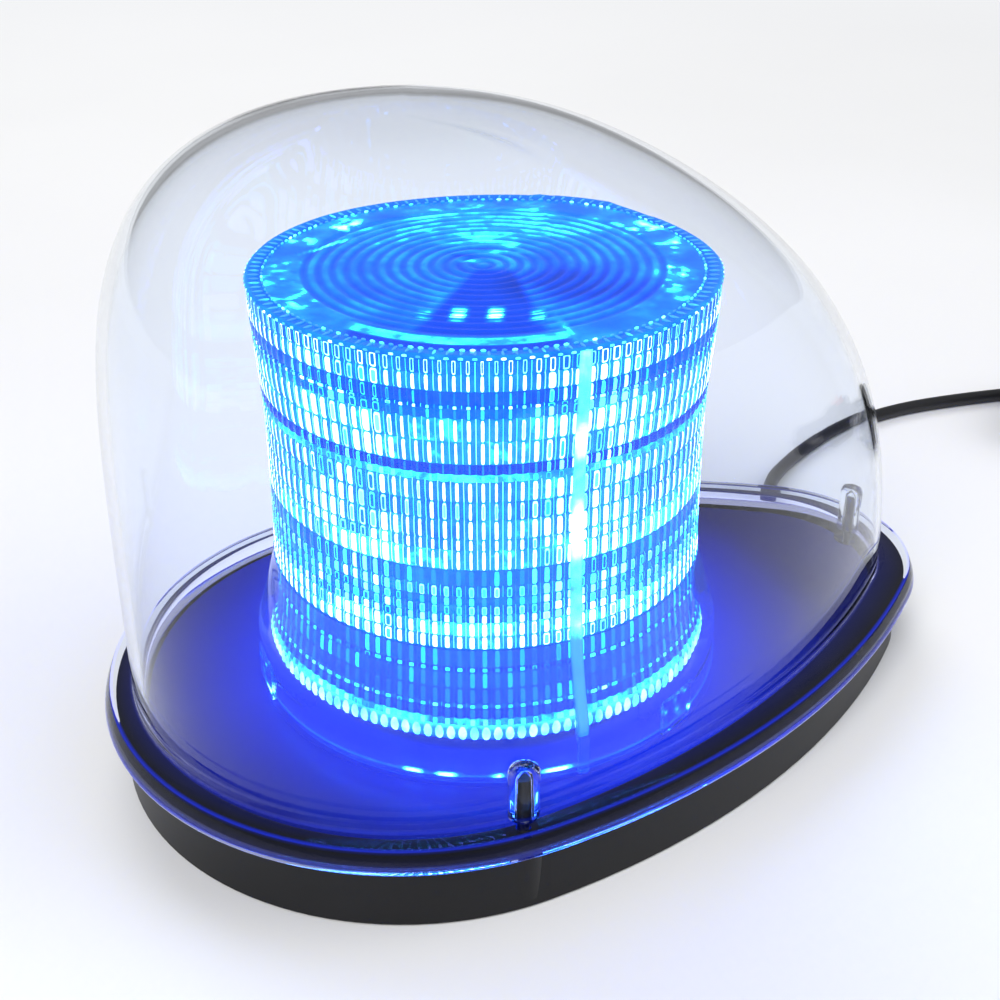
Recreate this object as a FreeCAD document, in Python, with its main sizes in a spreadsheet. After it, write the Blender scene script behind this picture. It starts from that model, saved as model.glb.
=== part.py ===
import FreeCAD, Part
import math
import os
import re
import Sketcher
from FreeCAD import Placement, Rotation, Vector

# LED warning beacon with a streamlined clear dome. Millimetres, +Z up, +X towards the pointed tail.
# The origin is on the lens axis, in the plane that the foot pad rests on.

UP = Vector(0, 0, 1)
doc = FreeCAD.newDocument("beacon")

# ---------------------------------------------------------------- driving sizes
SIZES = {
    # plan outline of the dome's flange: a front circle, a tail circle and two side arcs
    "front_radius": (79.6, "radius of the round front"),
    "front_centre": (-20.5, "x of the front circle's centre"),
    "tail_radius": (39.8, "radius of the narrow tail"),
    "tail_centre": (93.2, "x of the tail circle's centre"),
    "side_radius": (225.7, "radius of the long side arcs"),
    # base housing
    "pad_proud": (0.6, "how far the foot pad stands below the housing"),
    "base_height": (17.2, "height of the black side wall"),
    "base_inset": (2.4, "housing foot, in from the flange's edge"),
    "base_draft": (4.65, "outward lean of the side wall, degrees"),
    "cavity_inset": (6.6, "inner face of the side wall, in from the flange's edge"),
    "pad_recess": (1.8, "depth of the recess that takes the pad"),
    "pad_recess_inset": (5.0, "edge of the pad's recess"),
    "pad_play": (0.3, "gap between the pad and its recess"),
    "thread_play": (0.05, "gap between a screw's thread and what it cuts into"),
    "hole_play": (0.3, "gap round a screw in a plain hole"),
    "pilot_spare": (1.0, "how much deeper a blind hole is than its screw"),
    "base_floor": (2.5, "floor thickness"),
    "column_radius": (4.9, "screw columns"),
    "bore_radius": (1.9, "clearance hole of the dome screws"),
    "head_pocket_radius": (3.4, "counterbore of the dome screws"),
    "head_seat": (8.0, "z of the dome screws' head seat"),
    # deck plate
    "deck_thick": (2.5, "deck plate thickness"),
    "deck_rise": (1.5, "deck face above the flange's underside"),
    "deck_play": (0.3, "gap between the deck and the housing's rim"),
    "mouth_play": (0.6, "gap between the deck's panel and the dome's mouth"),
    "deck_rim": (4.2, "width of the deck's inner rim"),
    "gasket_thick": (1.2, "dome gasket thickness"),
    "gasket_inset": (1.4, "dome gasket, in from the flange's edge"),
    # dome
    "flange_thick": (5.5, "thickness of the clear flange"),
    "flange_flare": (1.7, "how far the flange's foot stands out past its top"),
    "dome_height": (142.2, "crown above the flange's top"),
    "dome_wall": (2.5, "wall thickness"),
    "dome_inset": (5.8, "wall, in from the flange's edge, front and sides"),
    "dome_tail_inset": (10.3, "wall, in from the flange's edge, at the tail"),
    "crown_x": (5.0, "station of the highest point of the rear slope"),
    "boss_radius": (3.8, "screw bosses inside the dome"),
    "boss_height": (22.0, "height of the screw bosses"),
    "boss_angle": (93.5, "bearing of the side bosses from the tail, degrees"),
    "boss_inset": (7.2, "boss centres, in from the flange's edge"),
    "tail_boss_inset": (11.7, "tail boss centre, in from the flange's edge"),
    "dome_screw_radius": (1.45, "shank of the dome screws"),
    "dome_screw_length": (27.0, "length of the dome screws"),
    "dome_head_radius": (2.9, "head of the dome screws"),
    "dome_head_height": (2.2, "head of the dome screws"),
    "boss_play": (0.4, "gap between the dome's bosses and the deck"),
    # magnets
    "cup_radius": (22.0, "magnet cups"),
    "cup_height": (8.0, "magnet cup height"),
    "cup_wall": (2.0, "magnet cup wall"),
    "cup_lift": (0.3, "cup rim above the foot plane"),
    "cup_play": (0.3, "gap between a cup and its well"),
    "well_wall": (2.3, "wall of a magnet well"),
    "well_roof": (2.5, "roof of a magnet well"),
    "magnet_bore": (7.0, "hole in the ring magnets"),
    "magnet_thick": (5.6, "ring magnet thickness"),
    "ring_play": (0.2, "gap between a ring magnet and its cup"),
    "front_magnet_x": (-44.0, "front magnets"),
    "front_magnet_y": (36.0, "front magnets, off the centre line"),
    "tail_magnet_x": (82.0, "tail magnet"),
    "magnet_screw_radius": (2.5, "magnet screw shank"),
    "magnet_head_radius": (4.6, "magnet screw head"),
    "magnet_head_height": (2.8, "magnet screw head height"),
    "nut_width": (8.0, "nut, across flats"),
    "nut_height": (4.0, "nut height"),
    "screw_proud": (0.5, "how far a magnet screw passes its nut"),
    # inner lens
    "lens_headroom": (4.4, "room between the tower's top board and the lens's top"),
    "lens_waist_radius": (54.3, "narrowest part of the lens"),
    "lens_rim_step": (2.0, "top rim of the lens, out from its waist"),
    "lens_waist_height": (69.5, "waist above the deck"),
    "lens_wall": (2.6, "lens wall"),
    "lens_knurl_height": (14.0, "top of the beaded ring above the deck"),
    "lens_knurl_step": (6.0, "beaded ring, out from the waist"),
    "lens_skirt_step": (6.7, "plain skirt, out from the waist"),
    "lens_skirt_height": (10.5, "plain skirt height"),
    "lens_edge": (0.6, "small chamfers on the lens"),
    "lens_cap_height": (3.0, "plain rim above the stepped rings"),
    "lens_bevel": (2.0, "bevel of the lens's top edge"),
    "top_ring_depth": (0.5, "depth of the rings on the lens's top"),
    "lens_throat": (26.0, "height at which the inside of the lens runs straight"),
    "lens_plate": (2.6, "thickness of the lens's top"),
    "ring_count": (16, "stepped rings round the lens"),
    "ring_depth": (0.8, "depth of the stepped rings"),
    "flute_count": (120, "flutes inside the lens"),
    "flute_depth": (1.1, "depth of the flutes"),
    "top_ring_count": (7, "rings on the lens's top"),
    "top_ring_margin": (11.3, "outermost ring on the top, in from the waist"),
    "rib_width": (4.6, "clear rib inside the lens"),
    "rib_depth": (2.4, "how far the rib stands into the lens"),
    "rib_reach": (14.0, "length of the rib under the lens's top"),
    "rib_thick": (1.2, "height of the rib under the lens's top"),
    "lug_step": (0.3, "inner edge of the lens lugs, out from the waist"),
    "lug_height": (2.6, "thickness of the lens lugs"),
    "lug_span": (16.0, "angle that a lug covers, degrees"),
    "hook_wall": (3.0, "post of a deck hook"),
    "hook_cap": (2.2, "thickness of a hook's overhang"),
    "hook_reach": (2.6, "how far a hook covers a lug"),
    "hook_play": (0.3, "gap between lugs and hooks"),
    "seal_width": (3.6, "lens seal"),
    "seal_thick": (1.0, "lens seal"),
    "seal_margin": (0.5, "outer edge of the seal's groove beyond the skirt"),
    "seal_play": (0.2, "gap between the seal and its groove"),
    # LED tower
    "tower_apothem": (26.9, "core, across flats, halved"),
    "tower_wall": (1.7, "core wall"),
    "tower_height": (96.0, "core height"),
    "tower_foot": (3.5, "foot plate thickness"),
    "tower_foot_apothem": (33.0, "foot plate, across flats, halved"),
    "board_thick": (1.6, "circuit boards"),
    "board_width": (30.6, "side boards"),
    "board_short": (3.0, "how much shorter the side boards are than the core"),
    "board_play": (0.1, "adhesive gap behind the side boards"),
    "led_size": (5.0, "square LED package"),
    "led_thick": (1.6, "LED package"),
    "led_rows": (5, "LED rows on a side board"),
    "led_columns": (4, "LED columns on a side board"),
    "led_first_row": (15.5, "lowest LED row above the side board's foot"),
    "led_last_row": (5.5, "highest LED row below the side board's top"),
    "led_column_pitch": (7.6, "LED column pitch"),
    "top_led_radius": (22.5, "rows of LEDs on the top board"),
    "top_led_size": (3.0, "LED on the top board"),
    "top_led_thick": (1.3, "LED on the top board"),
    "top_led_pitch": (6.1, "pitch of the LEDs on the top board"),
    "post_radius": (3.4, "centre post, across flats, halved"),
    "post_thread": (14.0, "depth of the thread in the centre post"),
    "top_screw_radius": (1.9, "tower screw"),
    "top_screw_head": (4.4, "tower screw head"),
    "top_screw_rise": (2.4, "tower screw head height"),
    "top_screw_length": (12.0, "tower screw"),
    "foot_screw_circle": (18.0, "circle of the foot screws"),
    "foot_screw_radius": (1.4, "foot screws"),
    "foot_screw_length": (9.0, "foot screws"),
    "foot_head_radius": (2.6, "foot screws"),
    "foot_head_height": (2.0, "foot screws"),
    "deck_boss_height": (6.0, "bosses under the deck, from its upper face"),
    "deck_boss_wall": (1.8, "wall of the bosses under the deck"),
    "wire_hole_radius": (4.0, "hole for the wires"),
    "wire_hole_x": (14.0, "hole for the wires"),
    # driver
    "driver_x": (19.0, "driver board centre"),
    "driver_length": (60.0, "driver board"),
    "driver_width": (52.0, "driver board"),
    "driver_stand": (1.5, "height of the stand-offs under the driver board"),
    "driver_hole_inset": (4.0, "driver board's screw holes"),
    "stand_radius": (3.0, "stand-offs under the driver board"),
    "pilot_floor": (0.8, "floor left under a blind hole"),
    "driver_screw_radius": (1.0, "driver board screws"),
    "driver_head_radius": (2.2, "driver board screws"),
    "driver_head_height": (1.5, "driver board screws"),
    "driver_screw_length": (3.2, "driver board screws"),
    "driver_hole_play": (0.2, "gap round the driver board's screws"),
    "board_margin": (1.0, "bare edge of the driver board"),
    "can_radius": (4.0, "capacitors"),
    "can_height": (7.5, "capacitors"),
    "can_x": (19.0, "capacitors from the board's centre"),
    "can_y": (-16.0, "first capacitor"),
    "choke_radius": (5.5, "ring choke"),
    "choke_bore": (2.2, "ring choke"),
    "choke_height": (4.5, "ring choke"),
    "choke_x": (4.0, "ring choke from the board's centre"),
    "choke_y": (-15.0, "ring choke"),
    "chip_length": (7.0, "driver chips"),
    "chip_width": (5.0, "driver chips"),
    "chip_height": (1.6, "driver chips"),
    "chip_x": (-18.0, "driver chips from the board's centre"),
    "chip_pitch": (8.0, "driver chips, off the centre line"),
    "terminal_length": (8.0, "terminal block"),
    "terminal_width": (12.0, "terminal block"),
    "terminal_height": (6.0, "terminal block"),
    "terminal_y": (13.0, "terminal block, off the centre line"),
    "socket_length": (8.0, "socket of the tower's wires"),
    "socket_width": (7.0, "socket of the tower's wires"),
    "socket_height": (5.0, "socket of the tower's wires"),
    "harness_radius": (1.8, "bundle of the tower's wires"),
    "lead_diameter": (3.0, "inner lead"),
    # cord
    "cord_diameter": (4.8, "round cord"),
    "cord_angle": (54.5, "bearing of the cord's exit about the tail centre, degrees"),
    "cord_exit_height": (10.0, "z of the cord's exit"),
    "grommet_length": (8.7, "grommet, outside the wall"),
    "grommet_neck": (1.3, "grommet's wall inside the hole"),
    "grommet_lip": (2.6, "grommet's shoulders beyond the cord"),
    "grommet_end": (0.9, "grommet's wall at its outer end"),
    "grommet_flange": (1.5, "grommet's inner flange"),
    "grommet_play": (0.2, "gap round the grommet"),
    "lead_play": (0.4, "gap between the grommet and the inner lead"),
    "coil_x": (282.2, "middle of the coil"),
    "coil_y": (45.9, "middle of the coil"),
    "coil_turns": (4, "turns side by side"),
    "coil_layers": (4, "layers of turns"),
    "coil_middle": (26.4, "radius at the middle of the turns"),
    # plug
    "plug_start_y": (1.0, "rear end of the plug's shells"),
    "plug_radius": (13.5, "grip"),
    "plug_rest": (0.1, "grip above the foot plane"),
    "plug_wall": (2.2, "shell wall"),
    "end_round": (1.5, "rounding of the grip's rear end"),
    "grip_length": (40.0, "grip"),
    "shoulder_length": (6.0, "slope from the grip down to the barrel"),
    "barrel_radius": (10.4, "barrel that enters the socket"),
    "barrel_end": (76.0, "front of the barrel"),
    "relief_length": (22.0, "strain relief"),
    "relief_neck": (5.6, "strain relief where it enters the shells"),
    "relief_lip": (2.2, "strain relief's inner flange"),
    "relief_flange": (2.0, "strain relief's inner flange"),
    "nose_length": (8.0, "nose cap"),
    "nose_step": (0.6, "nose cap, in from the barrel"),
    "nose_taper": (4.0, "bevel of the nose cap"),
    "tip_radius": (3.1, "tip contact"),
    "tip_reach": (7.0, "tip contact in front of the nose cap"),
    "tip_head": (6.4, "tip contact's inner flange"),
    "tip_flange": (2.0, "tip contact's inner flange"),
    "tip_gap": (0.1, "gap between the tip's flange and the nose cap"),
    "tip_round": (2.0, "rounding of the tip"),
    "tip_spring_length": (7.5, "spring behind the tip"),
    "spring_wire": (1.2, "wire of the spring behind the tip"),
    "fuse_radius": (3.1, "glass fuse"),
    "fuse_length": (26.0, "glass fuse"),
    "fuse_cap": (5.0, "end caps of the fuse"),
    "fuse_step": (0.3, "glass, in from the fuse's caps"),
    "contact_at": (57.0, "ground contacts from the rear end"),
    "contact_length": (18.0, "ground contacts"),
    "contact_width": (4.0, "ground contacts"),
    "contact_thick": (1.0, "ground contacts"),
    "contact_depth": (2.0, "how deep the ground contacts' ends lie"),
    "contact_bow": (0.9, "how far the ground contacts stand out"),
    "plug_board_at": (21.0, "plug's board from the rear end"),
    "plug_board_level": (1.0, "plug's board above the axis"),
    "plug_board_width": (21.6, "plug's board"),
    "plug_board_length": (24.0, "plug's board"),
    "rocker_width": (8.0, "rocker switch"),
    "rocker_length": (13.0, "rocker switch"),
    "rocker_at": (16.0, "rocker pivot from the rear end"),
    "rocker_level": (10.4, "rocker pivot above the plug's axis"),
    "rocker_step": (1.0, "switch case's rim below the rocker pivot"),
    "rocker_depth": (3.0, "rocker below its pivot"),
    "rocker_edge": (0.5, "rocker's bevels"),
    "rocker_ear": (4.6, "rocker's ends above its pivot"),
    "rocker_dish": (1.2, "hollow between the rocker's ends"),
    "rocker_tilt": (8.0, "rocker's lean each way, degrees"),
    "switch_wall": (1.0, "wall of the rocker's case"),
    "button_radius": (3.2, "mode button"),
    "button_at": (29.0, "mode button from the rear end"),
    "button_level": (9.0, "foot of the mode button above the plug's axis"),
    "button_length": (5.1, "mode button"),
    "button_lip": (1.0, "mode button's brim"),
    "button_box": (6.0, "switch under the mode button"),
    "button_travel": (0.8, "travel of the mode button"),
    "key_play": (0.3, "gap round what moves in the plug"),
}

sheet = doc.addObject("Spreadsheet::Sheet", "sizes")
for line, (alias, (value, note)) in enumerate(SIZES.items(), 1):
    sheet.set(f"A{line}", alias)
    sheet.set(f"B{line}", str(value))
    sheet.setAlias(f"B{line}", alias)
    sheet.set(f"C{line}", note)
doc.recompute()

# named sums of the sizes above, written the way the sheet's own cells would say them
LEVELS = {
    "base_foot": "pad_proud",
    "base_top": "pad_proud + base_height",
    "wall_at_cord": "tail_radius - base_inset + (cord_exit_height + cord_diameter / 2"
    " + grommet_lip - base_foot) * tan(base_draft * 1 deg)",
    "cord_shoulder": "wall_at_cord + grommet_play",
    "cord_flange": "tail_radius - cavity_inset - 3 * grommet_play - grommet_flange",
    "floor_under": "pad_proud + pad_recess",
    "floor_top": "pad_proud + pad_recess + base_floor",
    "ledge": "pad_proud + base_height - deck_thick",
    "flange_foot": "pad_proud + base_height + gasket_thick",
    "flange_top": "pad_proud + base_height + gasket_thick + flange_thick",
    "deck_top": "pad_proud + base_height + gasket_thick + deck_rise",
    "cup_top": "cup_lift + cup_height",
    "well_top": "cup_lift + cup_height + well_roof",
    "tower_bottom": "pad_proud + base_height + gasket_thick + deck_rise + tower_foot",
    "board_height": "tower_height - board_short",
    "led_row_pitch": "(board_height - led_first_row - led_last_row) / (led_rows - 1)",
    "lens_top": "tower_foot + tower_height + board_thick + lens_headroom + lens_plate",
    "lens_rim_radius": "lens_waist_radius + lens_rim_step",
    "lens_knurl_radius": "lens_waist_radius + lens_knurl_step",
    "lens_skirt_radius": "lens_waist_radius + lens_skirt_step",
    "lug_radius": "lens_waist_radius + lug_step",
    "top_ring_radius": "lens_waist_radius - top_ring_margin",
    "board_bottom": "pad_proud + pad_recess + base_floor + driver_stand",
    "board_top": "pad_proud + pad_recess + base_floor + driver_stand + board_thick",
    "mouth_centre": "tail_centre + dome_inset - dome_tail_inset",
    "side_boss_x": "front_centre + (front_radius - boss_inset) * cos(boss_angle * 1 deg)",
    "side_boss_y": "(front_radius - boss_inset) * sin(boss_angle * 1 deg)",
    "tail_boss_x": "tail_centre + tail_radius - tail_boss_inset",
}


def spell(text):
    """Puts the sheet's name in front of every size in an expression."""

    def word(found):
        name = found.group(0)
        if name in LEVELS:
            return f"({spell(LEVELS[name])})"
        return f"sizes.{name}" if name in SIZES else name

    return re.sub(r"[a-z][a-z_0-9]*", word, str(text))


def num(text):
    """The number that an expression stands for."""
    answer = sheet.evalExpression(spell(text))
    return float(getattr(answer, "Value", answer))


def bind(thing, **sizes):
    """Ties properties to expressions; a double underscore stands for a dot."""
    for name, text in sizes.items():
        thing.setExpression(name.replace("__", "."), spell(text))
    return thing


def place(thing, x="0", y="0", z="0"):
    return bind(thing, Placement__Base__x=x, Placement__Base__y=y, Placement__Base__z=z)


# ---------------------------------------------------------------- primitives and booleans
def cylinder(name, radius, height, x="0", y="0", z="0"):
    made = doc.addObject("Part::Cylinder", name)
    bind(made, Radius=radius, Height=height)
    return place(made, x, y, z)


def block(name, length, width, height, x="0", y="0", z="0"):
    """A box centred on x and y, standing on z."""
    made = doc.addObject("Part::Box", name)
    bind(made, Length=length, Width=width, Height=height)
    return place(made, f"({x}) - ({length}) / 2", f"({y}) - ({width}) / 2", z)


def hexagon(name, apothem, height, z="0", x="0", y="0"):
    """A six-sided prism with one flat towards +X."""
    made = doc.addObject("Part::Prism", name)
    made.Polygon = 6
    bind(made, Circumradius=f"({apothem}) / cos(30 deg)", Height=height)
    made.Placement = Placement(Vector(), Rotation(UP, 30))
    return place(made, x, y, z)


def fuse(name, *shapes):
    made = doc.addObject("Part::MultiFuse", name)
    made.Shapes = list(shapes)
    return made


def cut(name, base, *tools):
    made = doc.addObject("Part::Cut", name)
    made.Base = base
    made.Tool = tools[0] if len(tools) == 1 else fuse(f"{name}_tools", *tools)
    return made


def group(name, *shapes):
    """Separate solids that share one node."""
    made = doc.addObject("Part::Compound", name)
    made.Links = list(shapes)
    return made


def round_z(thing, degrees, x, y, z):
    """Turns a thing about the Z axis, with its own corner at x, y before the turn."""
    thing.Placement = Placement(Vector(), Rotation(UP, degrees))
    turn = f"({degrees} * 1 deg)"
    return place(
        thing,
        f"({x}) * cos{turn} - ({y}) * sin{turn}",
        f"({x}) * sin{turn} + ({y}) * cos{turn}",
        z,
    )


# ---------------------------------------------------------------- bodies and sketches
def new_body(name):
    return doc.addObject("PartDesign::Body", name)


def new_sketch(body, name, role="XY_Plane", lift="0"):
    sketch = body.newObject("Sketcher::SketchObject", name)
    plane = next(f for f in body.Origin.OriginFeatures if f.Role == role)
    sketch.AttachmentSupport = [(plane, "")]
    sketch.MapMode = "FlatFace"
    return bind(sketch, AttachmentOffset__Base__z=lift)


def tie(sketch, kind, *where, text):
    """Adds a constraint whose value is an expression."""
    number = sketch.addConstraint(Sketcher.Constraint(kind, *where, num(text)))
    sketch.setExpression(f"Constraints[{number}]", spell(text))


def polygon(sketch, corners):
    """A closed line through corners, each tied to the sheet."""
    spots = [Vector(num(across), num(along), 0) for across, along in corners]
    first = sketch.GeometryCount
    count = len(spots)
    for i in range(count):
        sketch.addGeometry(Part.LineSegment(spots[i], spots[(i + 1) % count]))
    for i in range(count):
        sketch.addConstraint(
            Sketcher.Constraint("Coincident", first + i, 2, first + (i + 1) % count, 1)
        )
    for i, (across, along) in enumerate(corners):
        tie(sketch, "DistanceX", -1, 1, first + i, 1, text=across)
        tie(sketch, "DistanceY", -1, 1, first + i, 1, text=along)


def circle(sketch, radius, x="0", y="0"):
    made = sketch.addGeometry(Part.Circle(Vector(num(x), num(y), 0), UP, num(radius)))
    tie(sketch, "Radius", made, text=radius)
    tie(sketch, "DistanceX", -1, 1, made, 3, text=x)
    tie(sketch, "DistanceY", -1, 1, made, 3, text=y)


def side_arc(front_x, front_r, tail_x, tail_r, side_r):
    """Centre of the arc that touches both end circles from outside, and its end angles."""
    to_front, to_tail, span = side_r - front_r, side_r - tail_r, tail_x - front_x
    along = (to_front**2 - to_tail**2 + span**2) / (2 * span)
    drop = math.sqrt(to_front**2 - along**2)
    middle = front_x + along
    return middle, drop, math.atan2(drop, front_x - middle), math.atan2(drop, tail_x - middle)


def egg(sketch, inset="0", tail_x="tail_centre"):
    """The plan outline, moved inwards by inset: four arcs that run into each other."""
    front_r, tail_r = f"front_radius - ({inset})", f"tail_radius - ({inset})"
    side_r = f"side_radius - ({inset})"
    fx, fr, tx, tr, sr = (num(t) for t in ("front_centre", front_r, tail_x, tail_r, side_r))
    middle, drop, lead, trail = side_arc(fx, fr, tx, tr, sr)
    arcs = (
        (tx, 0, tr, -trail, trail),
        (middle, -drop, sr, trail, lead),
        (fx, 0, fr, lead, 2 * math.pi - lead),
        (middle, drop, sr, -lead, -trail),
    )
    tail, left, front, right = (
        sketch.addGeometry(Part.ArcOfCircle(Part.Circle(Vector(x, y, 0), UP, r), a, b))
        for x, y, r, a, b in arcs
    )
    for one, other in ((tail, left), (left, front), (front, right), (right, tail)):
        sketch.addConstraint(Sketcher.Constraint("Tangent", one, 2, other, 1))
    for arc, centre, radius in ((tail, tail_x, tail_r), (front, "front_centre", front_r)):
        sketch.addConstraint(Sketcher.Constraint("PointOnObject", arc, 3, -1))
        tie(sketch, "DistanceX", -1, 1, arc, 3, text=centre)
        tie(sketch, "Radius", arc, text=radius)
    for arc in (left, right):
        tie(sketch, "Radius", arc, text=side_r)


def pad(body, sketch, length, taper="0"):
    made = body.newObject("PartDesign::Pad", f"{sketch.Name}_pad")
    made.Profile = sketch
    made.Length = num(length)
    bind(made, Length=length, TaperAngle=taper)
    doc.recompute()
    return made


def pocket(body, sketch, depth, upwards=False):
    """Cuts downwards from the sketch, or upwards; stops if it removes nothing."""
    before = body.Shape.Volume
    made = body.newObject("PartDesign::Pocket", f"{sketch.Name}_pocket")
    made.Profile = sketch
    made.Length = num(depth)
    made.Reversed = upwards
    bind(made, Length=depth)
    doc.recompute()
    if not body.Shape.Volume < before:
        raise RuntimeError(f"{made.Name} cuts nothing")
    return made


def turned(name, corners, sweep=360):
    """A body turned about the Z axis from a half profile of radius and height."""
    body = new_body(name)
    sketch = new_sketch(body, f"{name}_profile", "XZ_Plane")
    polygon(sketch, corners)
    spin = body.newObject("PartDesign::Revolution", f"{name}_turn")
    spin.Profile = sketch
    spin.ReferenceAxis = (sketch, ["V_Axis"])
    spin.Angle = sweep
    return body


def screw(name, x, y, seat, head_r, head_h, shank_r, length, up=True):
    """A screw whose head sits against seat, with its shank going up or down from there."""
    head_z = f"({seat}) - ({head_h})" if up else seat
    shank_z = seat if up else f"({seat}) - ({length})"
    head = cylinder(f"{name}_head", head_r, head_h, x, y, head_z)
    shank = cylinder(f"{name}_shank", shank_r, length, x, y, shank_z)
    return fuse(name, head, shank)


PARTS = []


def keep(thing, name):
    """Marks a thing as one of the finished sub-parts."""
    thing.Label = name
    PARTS.append(thing)
    return thing


MAGNETS = (
    ("front_magnet_x", "front_magnet_y"),
    ("front_magnet_x", "-front_magnet_y"),
    ("tail_magnet_x", "0"),
)
BOSSES = (
    ("side_boss_x", "side_boss_y"),
    ("side_boss_x", "-side_boss_y"),
    ("tail_boss_x", "0"),
)
DRIVER_HOLES = [
    (
        f"driver_x + {a} * (driver_length / 2 - driver_hole_inset)",
        f"{b} * (driver_width / 2 - driver_hole_inset)",
    )
    for a in (-1, 1)
    for b in (-1, 1)
]


# ---------------------------------------------------------------- base
def make_base_housing():
    body = new_body("housing_body")
    foot = new_sketch(body, "housing_foot", lift="base_foot")
    egg(foot, "base_inset")
    pad(body, foot, "base_height", "-base_draft")
    ledge = new_sketch(body, "housing_ledge", lift="base_top")
    egg(ledge, "cavity_inset - deck_rim / 2")
    pocket(body, ledge, "deck_thick")
    cavity = new_sketch(body, "housing_cavity", lift="ledge")
    egg(cavity, "cavity_inset")
    pocket(body, cavity, "ledge - floor_top")
    recess = new_sketch(body, "housing_recess", lift="base_foot")
    egg(recess, "pad_recess_inset")
    pocket(body, recess, "pad_recess", upwards=True)
    columns = new_sketch(body, "housing_columns", lift="floor_under")
    for x, y in BOSSES:
        circle(columns, "column_radius", x, y)
    pad(body, columns, "ledge - floor_under")
    wells = new_sketch(body, "housing_wells", lift="floor_under")
    for x, y in MAGNETS:
        circle(wells, "cup_radius + cup_play + well_wall", x, y)
    pad(body, wells, "well_top - floor_under")
    stands = new_sketch(body, "housing_stands", lift="floor_under")
    for x, y in DRIVER_HOLES:
        circle(stands, "stand_radius", x, y)
    pad(body, stands, "board_bottom - floor_under")
    cups = new_sketch(body, "housing_cups", lift="floor_under")
    for x, y in MAGNETS:
        circle(cups, "cup_radius + cup_play", x, y)
    pocket(body, cups, "cup_top - floor_under", upwards=True)
    holes = new_sketch(body, "housing_magnet_holes", lift="well_top")
    for x, y in MAGNETS:
        circle(holes, "magnet_screw_radius + hole_play", x, y)
    pocket(body, holes, "well_roof")
    bores = new_sketch(body, "housing_bores", lift="base_top")
    for x, y in BOSSES:
        circle(bores, "bore_radius", x, y)
    pocket(body, bores, "base_height")
    seats = new_sketch(body, "housing_head_seats", lift="base_foot")
    for x, y in BOSSES:
        circle(seats, "head_pocket_radius", x, y)
    pocket(body, seats, "head_seat - base_foot", upwards=True)
    pilots = new_sketch(body, "housing_pilots", lift="board_bottom")
    for x, y in DRIVER_HOLES:
        circle(pilots, "driver_screw_radius + thread_play", x, y)
    pocket(body, pilots, "board_bottom - floor_under - pilot_floor")
    gate = doc.addObject("Part::Cylinder", "cord_gate")
    bind(gate, Radius="cord_diameter / 2 + grommet_neck + grommet_play", Height="2 * cavity_inset")
    along_cord(gate, "tail_radius - 1.5 * cavity_inset")
    keep(cut("base_housing", body, gate), "base_housing")


def along_cord(thing, reach):
    """Lays a thing's Z axis along the cord's exit, starting at reach from the tail centre."""
    bearing = num("cord_angle")
    out = Vector(math.cos(math.radians(bearing)), math.sin(math.radians(bearing)), 0)
    thing.Placement = Placement(Vector(), Rotation(UP, out))
    return place(
        thing,
        f"tail_centre + ({reach}) * cos(cord_angle * 1 deg)",
        f"({reach}) * sin(cord_angle * 1 deg)",
        "cord_exit_height",
    )


def make_foot_pad():
    body = new_body("pad_body")
    outline = new_sketch(body, "pad_outline")
    egg(outline, "pad_recess_inset + pad_play")
    for x, y in MAGNETS:
        circle(outline, "cup_radius + 2 * cup_play", x, y)
    pad(body, outline, "floor_under")
    notches = new_sketch(body, "pad_notches", lift="floor_under")
    for x, y in BOSSES:
        circle(notches, "head_pocket_radius + 2 * pad_play", x, y)
    pocket(body, notches, "floor_under")
    keep(body, "foot_pad")


def make_magnets():
    rings, screws, nuts = [], [], []
    for i, (x, y) in enumerate(MAGNETS, 1):
        shell = cylinder(f"cup_{i}_outer", "cup_radius", "cup_height", x, y, "cup_lift")
        depth = "cup_height - cup_wall"
        inside = cylinder(f"cup_{i}_inner", "cup_radius - cup_wall", depth, x, y, "cup_lift")
        hole = cylinder(f"cup_{i}_hole", "magnet_screw_radius + hole_play", "cup_height", x, y,
                        "cup_lift")
        keep(cut(f"magnet_cup_{i}", shell, inside, hole), f"magnet_cup_{i}")
        base = "cup_top - cup_wall - magnet_thick"
        ring = cylinder(
            f"ring_{i}_outer", "cup_radius - cup_wall - ring_play", "magnet_thick", x, y, base
        )
        bore = cylinder(f"ring_{i}_bore", "magnet_bore", "magnet_thick", x, y, base)
        rings.append(cut(f"magnet_ring_{i}", ring, bore))
        seat = "cup_top - cup_wall"
        length = "cup_wall + well_roof + nut_height + screw_proud"
        screws.append(
            screw(
                f"magnet_screw_{i}", x, y, seat, "magnet_head_radius", "magnet_head_height",
                "magnet_screw_radius", length,
            )
        )
        flats = hexagon(f"nut_{i}_flats", "nut_width / 2", "nut_height", "well_top", x, y)
        thread = cylinder(
            f"nut_{i}_thread", "magnet_screw_radius + thread_play", "nut_height", x, y, "well_top"
        )
        nuts.append(cut(f"magnet_nut_{i}", flats, thread))
    keep(group("magnet_rings", *rings), "magnet_rings")
    keep(group("magnet_screws", *screws), "magnet_screws")
    keep(group("magnet_nuts", *nuts), "magnet_nuts")


HOOKS = (60, 180, 300)
FOOT_SCREWS = (30, 150, 270)


def ring_piece(name, inner, outer, height, z, bearing, span):
    """Part of a ring, centred on a bearing and covering span degrees."""
    made = []
    for tag, radius in (("outer", outer), ("inner", inner)):
        one = doc.addObject("Part::Cylinder", f"{name}_{tag}")
        bind(one, Radius=radius, Height=height, Angle=f"({span}) * 1 deg")
        one.Placement = Placement(Vector(), Rotation(UP, bearing - num(span) / 2))
        made.append(place(one, z=z))
    return cut(name, *made)


def polar(radius, bearing):
    return f"({radius}) * cos({bearing} deg)", f"({radius}) * sin({bearing} deg)"


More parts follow.
